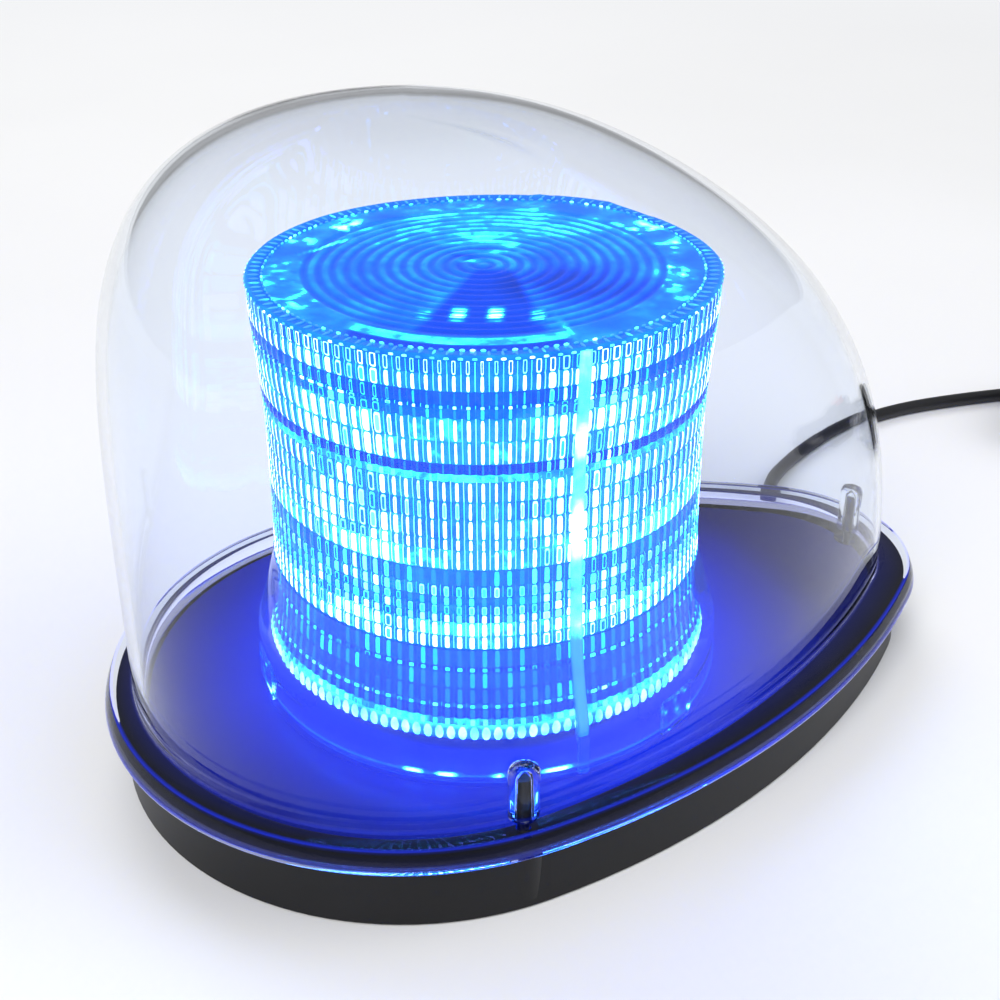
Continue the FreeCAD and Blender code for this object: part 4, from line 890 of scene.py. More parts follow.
@dataclass(frozen=True)
class Dome:
    """The smooth clear shell, its flange and its screw bosses."""

    sizes: DomeSizes = DomeSizes()
    arcs = (56, 28, 36)
    walls = 44
    caps = 18
    easing = 12
    eased_rings = 16
    samples = 800
    boss_sides = 40

    def outline(self, level: float, plan: tuple) -> list[tuple]:
        """Lists the points of a four-arc egg.

        Args:
            level: Its height.
            plan: The front circle's centre and radius, the tail's, and the side arcs' radius.

        Returns:
            The points, from the tail over the left side and the front.
        """
        front_x, front_r, tail_x, tail_r, side_r = plan
        to_front, to_tail, span = side_r - front_r, side_r - tail_r, tail_x - front_x
        along = (to_front ** 2 - to_tail ** 2 + span ** 2) / (2.0 * span)
        drop = math.sqrt(max(to_front ** 2 - along ** 2, 1e-9))
        middle = front_x + along
        lead = math.atan2(drop, front_x - middle)
        trail = math.atan2(drop, tail_x - middle)
        front, side, tail = self.arcs
        pieces = (
            (tail_x, 0.0, tail_r, -trail, trail, tail),
            (middle, -drop, side_r, trail, lead, side),
            (front_x, 0.0, front_r, lead, 2.0 * math.pi - lead, front),
            (middle, drop, side_r, -lead, -trail, side),
        )
        points = []
        for x, y, radius, start, end, count in pieces:
            for step in range(count):
                angle = mixed(start, end, step / count)
                points.append((x + radius * math.cos(angle), y + radius * math.sin(angle), level))
        return points

    def plan(self, share: float, wall: float) -> tuple:
        """Gives the egg's numbers at a share of the height.

        Args:
            share: The share of the height.
            wall: How far the face lies inside the outer one.

        Returns:
            The front's centre and radius, the tail's centre and radius, and the side arcs' radius.
        """
        size = self.sizes
        inset, tail_inset = size.inset + wall, size.tail_inset + wall
        front_r = size.front_radius - inset
        front_end = size.front_centre - front_r
        tail_end = size.tail_centre + size.tail_radius - tail_inset
        side = (1.0 - share ** 3.6) ** (1.0 / 3.97)
        half = front_r * side
        front = size.crown - (size.crown - front_end) * (1.0 - share ** 5.0) ** 0.2
        rear = size.crown + (tail_end - size.crown) * (1.0 - share ** 2.22) ** (1.0 / 1.42)
        slim = (size.tail_radius - inset) / front_r
        tail_r = half * (slim + (1.0 - slim) * share ** 2.3)
        return front + half, half, rear - tail_r, tail_r, (size.side_radius - inset) * side

    def levels(self) -> list[float]:
        """Spaces the rings evenly along the front of the shell, as shares of the height.

        Returns:
            The shares, from the foot to the shoulder.
        """
        size = self.sizes
        reached = [(0.0, 0.0)]
        before = None
        for step in range(self.samples + 1):
            share = size.shoulder * step / self.samples
            numbers = self.plan(share, 0.0)
            spot = Vector((numbers[0] - numbers[1], share * size.height))
            if before is not None:
                reached.append((reached[-1][0] + (spot - before).length, share))
            before = spot
        shares = []
        for step in range(self.walls + 1):
            goal = reached[-1][0] * step / self.walls
            shares.append(next(share for length, share in reached if length >= goal - 1e-6))
        return shares

    def shell(self, wall: float) -> list[list[Vector]]:
        """Lists the rings of one face of the shell, from the flange to near the crown.

        Args:
            wall: How far the face lies inside the outer one.

        Returns:
            The rings, eased over the crown, and last a ring of one point.
        """
        size = self.sizes
        height = size.height - wall
        rings = [
            [Vector(point) for point in self.outline(size.rim + share * height, self.plan(share, wall))]
            for share in self.levels()
        ]
        last = self.plan(size.shoulder, wall)
        middle = (last[0] - last[1] + last[2] + last[3]) / 2.0
        cap = (1.0 - size.shoulder) * height
        edge = rings[-1]
        below = self.outline(0.0, self.plan(size.shoulder - 0.006, wall))
        powers = []
        for (x, y, _), (x_low, y_low, _) in zip(edge, below):
            reach = math.hypot(x - middle, y)
            growth = max(math.hypot(x_low - middle, y_low) - reach, 0.1)
            powers.append(min(max(0.006 * height / growth * reach / cap, 2.2), 6.0))
        for step in range(1, self.caps):
            part = 1.0 - step / self.caps
            rings.append([
                Vector((middle + (x - middle) * part, y * part, size.rim + height - cap * part ** power))
                for (x, y, _), power in zip(edge, powers)
            ])
        rings.append([Vector((middle, 0.0, size.rim + height))])
        return self.eased(rings)

    def eased(self, rings: list[list[Vector]]) -> list[list[Vector]]:
        """Lets the shoulder run smoothly into the crown.

        Args:
            rings: The face's rings, which are changed.

        Returns:
            The same rings.
        """
        start = self.walls - self.eased_rings
        for _ in range(self.easing):
            before = [[point.copy() for point in ring] for ring in rings]
            for index in range(start, len(rings) - 1):
                share = 0.5 * smooth((index - start) / 8.0)
                after = before[index + 1]
                for step, point in enumerate(rings[index]):
                    upper = after[step] if len(after) > 1 else after[0]
                    point += share * ((before[index - 1][step] + upper) * 0.5 - before[index][step])
            crown = before[-2]
            rings[-1][0].z = sum(point.z for point in crown) / len(crown)
        return rings

    def body(self) -> Piece:
        """Builds the shell and its flange as one closed piece.

        Returns:
            The piece.
        """
        size = self.sizes
        low, rim = size.foot, size.rim
        sheet = Sheet()
        count = self.arcs[0] + 2 * self.arcs[1] + self.arcs[2]
        # The third value of each ring is painted light: highlight lines along the flange's edges.
        flange = (
            (-1.5, low, 0.0), (-1.7, low, 0.26), (-1.75, low + 0.4, 0.28), (-1.5, low + 1.6, 0.30),
            (-1.2, low + 2.6, 0.04), (-0.35, rim - 0.9, 0.0), (-0.1, rim - 0.4, 0.15), (0.1, rim - 0.15, 0.9),
            (0.5, rim, 0.5), (1.0, rim, 0.0),
        )
        rings = [sheet.ring(self.edge(inset, level), light) for inset, level, light in flange]
        foot = self.plan(0.0, 0.0)
        # Painted highlight lines where the flange runs into the shell.
        for out, rise, light in ((-0.9, 0.05, 0.1), (-0.35, 0.45, 0.25), (0.0, 1.1, 0.0)):
            grown = (foot[0], foot[1] - out, foot[2], foot[3] - out, foot[4] - out)
            rings.append(sheet.ring(self.outline(rim + rise, grown), light))
        inside = []
        for face, wall in ((rings, 0.0), (inside, size.wall)):
            levels = self.shell(wall)
            skip = 1 if face else 0
            face += [sheet.ring([tuple(point) for point in ring]) for ring in levels[skip:-1]]
            sheet.join(face, count)
            sheet.fan(face[-1], tuple(levels[-1][0]), count, True)
        mouth = sheet.ring(self.outline(low, self.plan(0.0, size.wall)))
        sheet.join([mouth, inside[0]], count)
        sheet.join([mouth, rings[0]], count)
        return sheet.build("dome_shell", Look.DOME)

    def edge(self, inset: float, level: float) -> list[tuple]:
        """Lists the flange's outline.

        Args:
            inset: How far it is drawn in.
            level: Its height.

        Returns:
            The points.
        """
        size = self.sizes
        radii = (size.front_radius, size.tail_radius, size.side_radius)
        front, tail, side = (radius - inset for radius in radii)
        return self.outline(level, (size.front_centre, front, size.tail_centre, tail, side))

    def boss(self, index: int, x: float, y: float) -> Piece:
        """Builds one clear screw boss with its bore.

        Args:
            index: The boss's number.
            x: Where it stands, in millimetres.
            y: The same, sideways.

        Returns:
            The boss.
        """
        size = self.sizes
        sheet = Sheet()
        count = self.boss_sides
        outer, top = size.boss_radius, size.boss_top
        rings = sheet.circles((
            *size.bore,
            (outer, size.boss_foot), (outer, top - 1.4), (outer - 0.4, top - 0.4), (outer - 1.4, top),
        ), count, (x, y))
        sheet.join(rings, count)
        sheet.fan(rings[0], (x, y, size.bore_top), count, False)
        sheet.fan(rings[-1], (x, y, top), count, True)
        return sheet.build(f"dome_boss_{index}", Look.DOME)

    def build(self) -> None:
        """Builds every piece of the dome."""
        body = self.body()
        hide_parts("outer_dome")
        for index, (x, y) in enumerate(self.sizes.bosses, 1):
            self.boss(index, x, y)


# ---------------------------------------------------------------- the lens


@dataclass(frozen=True)
class Row:
    """One band of cells on the lens wall.

    Attributes:
        low: Its lower edge, in millimetres.
        high: Its upper edge.
        core: How bright its cells' blocks are.
        base: How bright the ground between them is.
        hollow: How dark the blocks' middles are.
    """

    low: float
    high: float
    core: float
    base: float
    hollow: float = 0.0


@dataclass(frozen=True)
class LensSizes:
    """The lens drum, in millimetres and degrees.

    Attributes:
        spots: The LEDs' images painted on the top plate as light: across, back and strength.
        blobs: Soft patches of painted light on it: across, back, width, depth and strength.
        wedge: The wedge of painted shade on it: its middle, its half width and how that grows.
        shade: The patch of painted shade on it: across, back, width and depth.
        strokes: Painted highlight lines on it: strength, start, end and half width.
        foot_sparks: Painted glints on the skirt's lip: bearing and half width.
        skirt_lip: The lip's rings: radius, level, light and the sparks' peak.
        rib_peaks: Painted bright stretches of the rib: level, half length and strength.
        rib_foot: Where the rib's foot ends, and its reach there.
        rib_section: Half the rib's section: share of its half width, reach and light.
        lug_glints: A lug's painted glints: bearing, level, width, height and strength.
    """

    waist: float = 54.3
    flare: float = 5.75
    flare_foot: float = 90.0
    flare_reach: float = 55.5
    flare_power: float = 3.5
    rim: float = 2.0
    foot: float = 34.6
    top: float = 128.6
    wall: float = 2.4
    flutes: int = 120
    flute_depth: float = 0.4
    row_depth: float = 0.3
    facet_edge: float = 13.0
    facet_blend: float = 8.0
    facet_width: float = 0.15
    corner_width: float = 0.31
    dim_share: float = 0.62
    least_width: float = 0.22
    patch_size: float = 6.0
    beads: int = 128
    circles: int = 13
    circle_reach: float = 43.5
    front_bearing: float = 240.0
    spots: tuple = ((-10.4, -32.9, 0.72), (-2.8, -31.3, 1.1), (5.4, -30.7, 1.15), (14.7, -31.3, 0.78))
    blobs: tuple = (
        (-2.0, 21.5, 6.0, 2.2, 0.68), (-8.5, 15.8, 4.5, 1.2, 0.62), (5.0, 15.0, 5.0, 1.0, 0.60),
        (-3.2, 2.5, 2.6, 1.0, 0.66), (3.5, 9.5, 5.5, 1.1, 0.62), (-14.0, 25.0, 3.5, 1.0, 0.60),
        (-5.5, 6.5, 2.5, 0.9, 0.12), (-1.0, 11.5, 3.0, 0.9, 0.14), (12.0, 22.0, 3.0, 1.2, 0.58),
    )
    wedge: tuple = (3.0, 5.0, 0.26)
    wedge_end: float = 45.0
    arc_end: float = 49.4
    arc_half: float = 25.0
    shade: tuple = (23.0, -12.0, 19.0, 13.0)
    strokes: tuple = ((0.85, (-46.0, 3.3), (-32.5, 21.0), 1.1), (0.62, (17.5, -28.0), (25.0, -49.0), 1.9))
    foot_sparks: tuple = (
        (228.0, 3.2), (235.9, 3.0), (247.4, 1.8), (260.3, 4.5), (178.5, 2.5), (72.0, 4.0), (20.0, 3.0),
    )
    lit_share: float = 0.42
    skirt_levels: tuple = (31.5, 34.0, 37.0, 40.0, 44.0, 47.0, 50.0, 52.5, 54.3, 54.7, 54.9)
    skirt_reach: float = 60.5
    skirt_lip: tuple = (
        (60.3, 22.2, 0.06, 0.3), (60.5, 22.6, 0.25, 0.9), (60.6, 23.0, 0.50, 1.0),
        (60.5, 23.5, 0.2, 0.9), (60.3, 24.1, 0.04, 0.2),
    )
    bead_radius: float = 56.0
    rib_width: float = 2.8
    rib_peaks: tuple = ((84.0, 6.5, 0.42), (107.0, 4.0, 0.34), (126.0, 3.0, 0.12), (60.0, 3.0, 0.18))
    rib_turn: float = -3.2
    rib_step: float = 1.5
    rib_foot: tuple = (31.0, 60.9)
    rib_light: tuple = (0.44, 0.60)
    rib_section: tuple = ((1.0, -1.5, 0.5), (1.0, 0.15, 1.0), (0.5, 0.5, 1.1))
    lug_bearings: tuple = (295.5, 175.5, 55.5)
    lug_half: float = 6.0
    lug_levels: tuple = (21.2, 30.6)
    lug_reach: tuple = (60.0, 61.0)
    lug_glints: tuple = (
        (-5.2, 27.6, 0.9, 1.0, 0.66), (-0.6, 26.0, 1.1, 1.4, 0.68), (0.6, 24.2, 1.4, 0.8, 0.56),
        (4.9, 23.2, 0.9, 1.2, 1.1), (-1.6, 29.4, 0.5, 1.9, 0.60), (-4.9, 24.0, 0.5, 2.2, 0.40),
        (2.4, 29.8, 1.0, 0.7, 0.80),
    )

    def radius(self, level: float) -> float:
        """Outer radius at a height.

        Args:
            level: The height.

        Returns:
            The radius, in millimetres.
        """
        if level < self.flare_foot:
            drop = max((self.flare_foot - level) / self.flare_reach, 0.0)
            return self.waist + self.flare * drop ** self.flare_power
        return self.waist + self.rim * smooth((level - self.flare_foot) / (self.top - self.flare_foot))

    def lit_radius(self, level: float) -> float:
        """Radius of the lit wall, which keeps inside the clear flare at the foot."""
        reach = self.radius(level)
        return reach if level > self.flare_foot else mixed(self.waist, reach, self.lit_share)


BANDS = (
    Row(34.6, 36.4, 0.80, 0.58),
    Row(36.4, 39.2, 0.50, 0.15),
    Row(39.2, 40.2, 0.80, 0.34),
    Row(40.2, 44.4, 0.53, 0.24),
    Row(44.4, 48.8, 0.56, 0.28),
    Row(48.8, 49.9, 0.72, 0.16),
    Row(49.9, 54.9, 0.58, 0.30),
    Row(54.9, 58.3, 1.20, 0.50),
    Row(58.3, 61.8, 1.25, 0.55),
    Row(61.8, 64.0, 0.92, 0.40),
    Row(64.0, 66.4, 0.82, 0.40, 0.3),
    Row(66.4, 68.6, 0.64, 0.40),
    Row(68.6, 71.5, 0.84, 0.40, 0.3),
    Row(71.5, 75.8, 0.58, 0.38),
    Row(75.8, 80.8, 1.30, 0.56),
    Row(80.8, 83.6, 1.15, 0.50),
    Row(83.6, 88.5, 1.20, 0.48),
    Row(88.5, 93.1, 1.05, 0.44, 0.25),
    Row(93.1, 98.2, 1.15, 0.48, 0.2),
    Row(98.2, 100.0, 0.70, 0.58),
    Row(100.0, 102.6, 0.50, 0.20),
    Row(102.6, 108.2, 1.25, 0.50),
    Row(108.2, 113.8, 1.2, 0.50, 0.15),
    Row(113.8, 116.2, 0.66, 0.42),
    Row(116.2, 117.0, 0.95, 0.34),
    Row(117.0, 120.3, 0.55, 0.30),
    Row(120.3, 124.2, 1.20, 0.46),
    Row(124.2, 128.0, 1.05, 0.40, 1.0),
)


def facet_turn(angle: float) -> float:
    """How far a bearing is from the middle of an LED board, 0 to 30 degrees."""
    return abs((angle + 30.0) % 60.0 - 30.0)


@dataclass(frozen=True)
class Lens:
    """The fluted drum, its top plate, bead ring, skirt, lugs and rib."""

    sizes: LensSizes = LensSizes()
    sides = 240
    plate_sides = 300
    lug_mesh = (25, 20)

    def ring(self, level: float, groove: bool) -> list[tuple]:
        """Lists one ring of the wall, scalloped by the flutes.

        Args:
            level: Its height.
            groove: Whether it lies in the groove between two rows.

        Returns:
            The points, four a flute.
        """
        size = self.sizes
        radius = size.lit_radius(level) - (size.row_depth if groove else 0.0)
        points = []
        for step, turn in enumerate(turns(size.flutes * 4)):
            reach = radius - size.flute_depth * (1.0 - math.sin(math.pi * (step % 4) / 4.0))
            points.append((reach * math.cos(turn), reach * math.sin(turn), level))
        return points

    def cell(self, flute: int, index: int, row: Row) -> tuple[float, tuple]:
        """Chooses how one cell shines.

        Args:
            flute: The cell's flute.
            index: The cell's row.
            row: The row's own values.

        Returns:
            Half the bright block's width, and its brightness, hollowness and ground.
        """
        size = self.sizes
        angle = (flute + 0.5) * 360.0 / size.flutes
        side = smooth((facet_turn(angle) - size.facet_edge) / size.facet_blend)
        width = mixed(size.facet_width, size.corner_width, side)
        width *= size.dim_share if row.core < size.dim_share else 1.0
        turn, reach = math.radians(angle), size.patch_size
        patch = noise.noise(Vector((math.cos(turn) * reach, math.sin(turn) * reach, index * 1.7)))
        ahead = max(row.core, 0.86) if row.core > 0.45 and row.low > 58.0 else row.core
        core = mixed(row.core, ahead * mixed(0.72, 1.15, smooth(patch + 0.55)), side)
        core *= mixed(0.92, 1.06, chance(flute, index, 3))
        hollow = row.hollow if side < 0.5 or row.hollow >= 1.0 else 0.0
        hollow = max(hollow, side * smooth(0.05 - patch * 3.0) * 0.8)
        width *= mixed(0.9, 1.1, chance(flute, index, 5))
        if row.low < 75.0 and row.core >= 0.5:
            width = max(width, size.least_width)
        return width, (core, hollow, row.base * mixed(0.9, 1.12, smooth(patch + 0.5)))

    def wall(self) -> Piece:
        """Builds the drum's wall, whose facets are bright cells.

        Returns:
            The wall, with each cell's place and shine stored on it.
        """
        size = self.sizes
        count = size.flutes * 4
        sheet = Sheet()
        marks = [(index, share) for index in range(len(BANDS)) for share in (0.0, 0.2, 0.8)]
        levels = [mixed(BANDS[index].low, BANDS[index].high, share) for index, share in marks]
        marks.append((len(BANDS), 0.0))
        levels.append(BANDS[-1].high)
        rings = [sheet.ring(self.ring(level, mark[1] == 0.0)) for level, mark in zip(levels, marks)]
        sheet.join(rings, count)
        inside = (BANDS[-1].high, 90.0, 60.0, 45.0, size.foot)
        inner = sheet.circles([(size.lit_radius(level) - size.wall, level) for level in inside], count)
        sheet.join([rings[-1], *inner, rings[0]], count)
        wall = sheet.build("lens_wall", Look.LENS)
        self.mark(wall, marks, count)
        return wall

    def mark(self, wall: Piece, marks: list[tuple], count: int) -> None:
        """Stores each cell's place and shine on the corners of the wall's faces.

        Args:
            wall: The wall, whose outer faces come first, ring by ring.
            marks: Each ring's row and share of the row's height.
            count: The points in a ring.
        """
        mesh = wall.data
        places = [0.5, 0.5, 0.2] * len(mesh.loops)
        shines = [0.0, 0.0, 0.4] * len(mesh.loops)
        for face in mesh.polygons[:(len(marks) - 1) * count]:
            band, step = divmod(face.index, count)
            index, share = marks[band]
            upper = marks[band + 1][1] or 1.0
            flute, part = divmod(step, 4)
            width, shine = self.cell(flute, index, BANDS[index])
            for loop in face.loop_indices:
                spot_band, spot_step = divmod(mesh.loops[loop].vertex_index, count)
                across = part if spot_step == step else part + 1
                along = share if spot_band == band else upper
                places[3 * loop: 3 * loop + 3] = (across / 4.0, along, width)
                shines[3 * loop: 3 * loop + 3] = shine
        for name, values in (("cell", places), ("glow", shines)):
            mesh.attributes.new(name, "FLOAT_VECTOR", "CORNER").data.foreach_set("vector", values)

    def plate_ground(self, radius: float, across: float, away: float) -> float:
        """How bright the top plate's rings and its rim are.

        Args:
            radius: The spot's distance from the axis, in millimetres.
            across: The spot's place, sideways.
            away: The spot's place, from the front to the back.

        Returns:
            The light value: the rings' grooves and the wedge in front of the tower get painted shade.
        """
        size = self.sizes
        cloud = noise.noise(Vector((across, away, 0.0)) * 0.085)
        phase = (radius * size.circles / size.circle_reach) % 1.0
        crest = smooth(1.0 - abs(phase - 0.2) / 0.25)
        if radius < size.circle_reach:
            groove = smooth(1.0 - abs(phase - 0.7) / 0.28)
            side = smooth(abs(across) / max(radius, 1.0) * 1.7 - 0.25)
            deep = mixed(0.35, 1.0, side) * mixed(0.45, 1.0, smooth(0.6 + cloud * 1.6))
            level = 0.40 + 0.16 * cloud + 0.09 * crest - 0.25 * groove * deep
            level += 0.13 * smooth((away - 4.0) / 24.0)
        else:
            fine = noise.noise(Vector((across, away, 30.0)) * 0.42)
            back = smooth((away + 34.0) / 9.0) * mixed(1.0, 0.35, smooth((away - 24.0) / 16.0))
            level = 0.44 + 0.18 * cloud + 0.42 * back * smooth(fine * 2.4 + 0.1) * smooth(0.45 + cloud * 2.0)
        # Painted shade: the dark wedge in front of the tower.
        middle, half, slant = size.wedge
        wedge = smooth((half - slant * away - abs(across - middle)) / 3.0)
        wedge *= smooth(-away / 6.0) * smooth((size.wedge_end - radius) / 1.5)
        return mixed(level, 0.15 + 0.07 * crest, wedge)

    def plate_light(self, radius: float, turn: float) -> float:
        """How bright the top plate is at a spot.

        Args:
            radius: The spot's distance from the axis, in millimetres.
            turn: Its bearing, in radians.

        Returns:
            The light value, with the LEDs' painted images, the painted blobs and the painted highlight
            strokes over the ground.
        """
        size = self.sizes
        bearing = turn - math.radians(size.front_bearing + 90.0)
        across, away = radius * math.cos(bearing), radius * math.sin(bearing)
        level = self.plate_ground(radius, across, away)
        # Painted shade patch.
        x, y, wide, deep = size.shade
        level -= 0.20 * smooth(1.3 - math.hypot((across - x) / wide, (away - y) / deep))
        # Painted bright arc along the front of the rim, with painted shade beyond it.
        front = smooth((size.arc_half - abs(across + 2.0)) / 3.0) * smooth(-away / 6.0)
        if radius > size.wedge_end:
            level = mixed(level, 0.6 if radius < size.arc_end else 0.16, front)
        # Painted images of the LEDs.
        for spot, back, strength in size.spots:
            fall = bell(across - spot, 2.2, 4) * bell(away - back, 4.6, 4)
            ridge = smooth(1.0 - abs((radius / 1.65) % 1.0 - 0.5) / 0.4)
            level = max(level, strength * fall * mixed(0.5, 1.0, ridge))
        # Painted bright patches.
        for spot, back, wide, deep, strength in size.blobs:
            level = mixed(level, strength, bell(across - spot, wide) * bell(away - back, deep))
        # Painted highlight strokes.
        for strength, start, end, half in size.strokes:
            level = max(level, strength * self.stroke(across, away, start, end, half))
        return max(level, 0.05)

    def stroke(self, across: float, away: float, start: tuple, end: tuple, half: float) -> float:
        """How near a spot is to a straight bright line.

        Args:
            across: The spot's place, sideways.
            away: The spot's place, from the front to the back.
            start: Where the line starts.
            end: Where it ends.
            half: Half its width.

        Returns:
            The light value, 1 on the line's middle.
        """
        spot, first, last = Vector((across, away)), Vector(start), Vector(end)
        along = min(max((spot - first).dot(last - first) / (last - first).length_squared, 0.0), 1.0)
        gap = (spot - first.lerp(last, along)).length
        return bell(gap, half) * mixed(0.55, 1.0, 1.0 - abs(along * 2.0 - 1.0))

    def top(self) -> Piece:
        """Builds the ringed top plate inside its bevelled rim.

        Returns:
            The closed plate.
        """
        size = self.sizes
        count = self.plate_sides
        sheet = Sheet()
        outer, top = size.radius(size.top) + 0.2, size.top
        seat = top - 0.55
        rings = sheet.circles((
            (outer - 1.6, top - 2.4, 0.2), (outer - 0.2, top - 0.9, 0.42), (outer, top - 0.5, 0.44),
            (outer - 0.5, top, 0.46), (outer - 1.1, top, 0.40), (outer - 3.6, seat + 0.1, 0.33),
            (outer - 4.2, seat, 0.40),
        ), count)
        pitch = size.circle_reach / size.circles / 4.0
        radius = outer - 4.4
        while radius > pitch:
            groove = radius < size.circle_reach and 0.5 < (radius / pitch / 4.0) % 1.0 < 0.9
            light = [self.plate_light(radius, turn) for turn in turns(count)]
            rings.append(sheet.ring(circle(radius, seat - (0.3 if groove else 0.0), count), light))
            radius -= pitch
        sheet.join(rings, count)
        sheet.fan(rings[-1], (0.0, 0.0, seat), count, True, 0.5)
        sheet.fan(rings[0], (0.0, 0.0, top - 2.4), count, False, 0.2)
        return sheet.build("lens_top", Look.LENS_TOP)

    def studs(self) -> list[Piece]:
        """Builds the rings of studs.

        Returns:
            The foot's beads, the rim's beads and ticks, and the edge's dashes.
        """
        size = self.sizes
        edge, top, flutes = size.radius(size.top), size.top, size.flutes
        rings = (
            ("lens_foot_beads", size.beads, size.bead_radius, 32.4, (0.95, 1.2, 1.9), 0.84, 1.0, 3),
            ("lens_rim_beads", 150, edge - 4.0, top - 0.3, (0.3, 0.62, 0.3), 0.3, 0.85, 8),
            ("lens_rim_ticks", flutes, edge - 1.9, top - 0.15, (1.5, 0.34, 0.3), 0.28, 0.62, 5),
            ("lens_edge_dashes", flutes, edge, top - 0.55, (0.25, 0.8, 0.28), 0.55, 1.0, 6),
        )
        return [StudRing(*ring, Look.BEADS).build() for ring in rings]

    def bead_band(self) -> Piece:
        """Builds the clear band that carries the foot's beads.

        Returns:
            The closed band.
        """
        sheet = Sheet()
        rings = sheet.circles((
            (55.0, 30.3, 0.1), (56.0, 30.6, 0.4), (56.4, 31.4, 0.5), (56.4, 33.4, 0.58), (56.2, 34.4, 0.72),
            (55.6, 34.8, 0.5), (54.0, 34.8, 0.2), (54.0, 30.3, 0.1),
        ), self.sides)
        sheet.join(rings, self.sides, closed=True)
        return sheet.build("lens_bead_band", Look.BEADS)

    def skirt(self) -> Piece:
        """Builds the plain clear skirt that flares out round the drum and stands on the deck.

        Returns:
            The closed skirt, with painted sparks of light on the lip at its foot.
        """
        sheet = Sheet()
        size = self.sizes
        flare, inner = [], []
        for level in size.skirt_levels:
            lit = size.lit_radius(level)
            wide = min(size.radius(level) + 0.15, size.skirt_reach)
            wide = mixed(wide, lit + 0.2, smooth((level - 45.0) / 9.9))
            flare.append((wide, level, 0.05))
            inner.insert(0, (max(min(size.radius(level) - 0.75, wide - 0.1), lit + 0.1), level, 0.03))
        sparks = [
            max(bell(math.degrees(turn) - middle, half, 4) for middle, half in size.foot_sparks)
            for turn in turns(self.sides)
        ]
        lip = [
            (radius, level, [max(light, peak * spark) for spark in sparks])
            for radius, level, light, peak in size.skirt_lip
        ]
        rings = sheet.circles((
            (60.0, 20.6, 0.02), (60.2, 21.6, 0.03), *lip, (60.3, 28.0, 0.03),
            *flare, *inner, (59.6, 28.0, 0.02), (59.5, 20.6, 0.02),
        ), self.sides)
        sheet.join(rings, self.sides, closed=True)
        return sheet.build("lens_skirt", Look.LENS_SKIRT)

    def lug(self, index: int, bearing: float) -> Piece:
        """Builds one clear locking lug on the skirt, with glints painted on it.

        Args:
            index: The lug's number.
            bearing: Where it sits, in degrees.

        Returns:
            The closed lug.
        """
        size = self.sizes
        sheet = Sheet()
        steps, rows = self.lug_mesh
        rings = []
        for row in range(rows + 1):
            level = mixed(*size.lug_levels, row / rows)
            points, light = [], []
            for radius, order in zip(size.lug_reach[::-1], (range(steps), range(steps - 1, -1, -1))):
                for step in order:
                    offset = size.lug_half * mixed(-1.0, 1.0, step / (steps - 1))
                    turn = math.radians(bearing + offset)
                    points.append((radius * math.cos(turn), radius * math.sin(turn), level))
                    light.append(max(
                        glow * bell(offset - middle, wide) * bell(level - height, tall)
                        for middle, height, wide, tall, glow in size.lug_glints
                    ))
            rings.append(sheet.ring(points, light))
        sheet.join(rings, 2 * steps)
        sheet.ends(rings, 2 * steps)
        return sheet.build(f"lens_lug_{index}", Look.LENS_SKIRT, flat=True)

    def rib(self, name: str, start: float, end: float, look: Look, strength: float) -> Piece:
        """Builds a stretch of the clear rib that runs up the drum's side.

        Args:
            name: The piece's name.
            start: Its lower end, in millimetres.
            end: Its upper end.
            look: Its finish.
            strength: How strongly it is lit.

        Returns:
            The closed stretch.
        """
        size = self.sizes
        sheet = Sheet()
        half = size.rib_width / 2.0
        steps = max(round((end - start) / size.rib_step), 2)
        foot_top, foot_reach = size.rib_foot
        section = [(-side, out, glow) for side, out, glow in size.rib_section] + list(size.rib_section[::-1])
        rings = []
        turn = Matrix.Rotation(math.radians(size.rib_turn), 3, "Z")
        for step in range(steps + 1):
            level = mixed(start, end, step / steps)
            low = foot_reach if level < foot_top else size.radius(max(level, size.foot)) + 0.1
            light = mixed(*size.rib_light, smooth((level - 45.0) / 20.0))
            for middle, spread, peak in size.rib_peaks:
                light += peak * bell(level - middle, spread)
            points = [tuple(turn @ Vector((side * half, -low - out, level))) for side, out, _ in section]
            rings.append(sheet.ring(points, [light * strength * glow for _, _, glow in section]))
        sheet.join(rings, len(section))
        sheet.ends(rings, len(section))
        return sheet.build(name, look)

    def build(self) -> None:
        """Builds every piece of the lens."""
        wall = self.wall()
        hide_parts("inner_lens")
        ribs = (
            self.rib("lens_rib_foot", 20.8, 31.0, Look.LENS_SKIRT, 0.4),
            self.rib("lens_rib", 31.2, self.sizes.top - 0.4, Look.BEADS, 1.0),
        )
        lugs = [self.lug(index, bearing) for index, bearing in enumerate(self.sizes.lug_bearings, 1)]
        for piece in (self.top(), self.bead_band(), self.skirt(), *lugs, *ribs, *self.studs()):
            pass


# ---------------------------------------------------------------- the cord


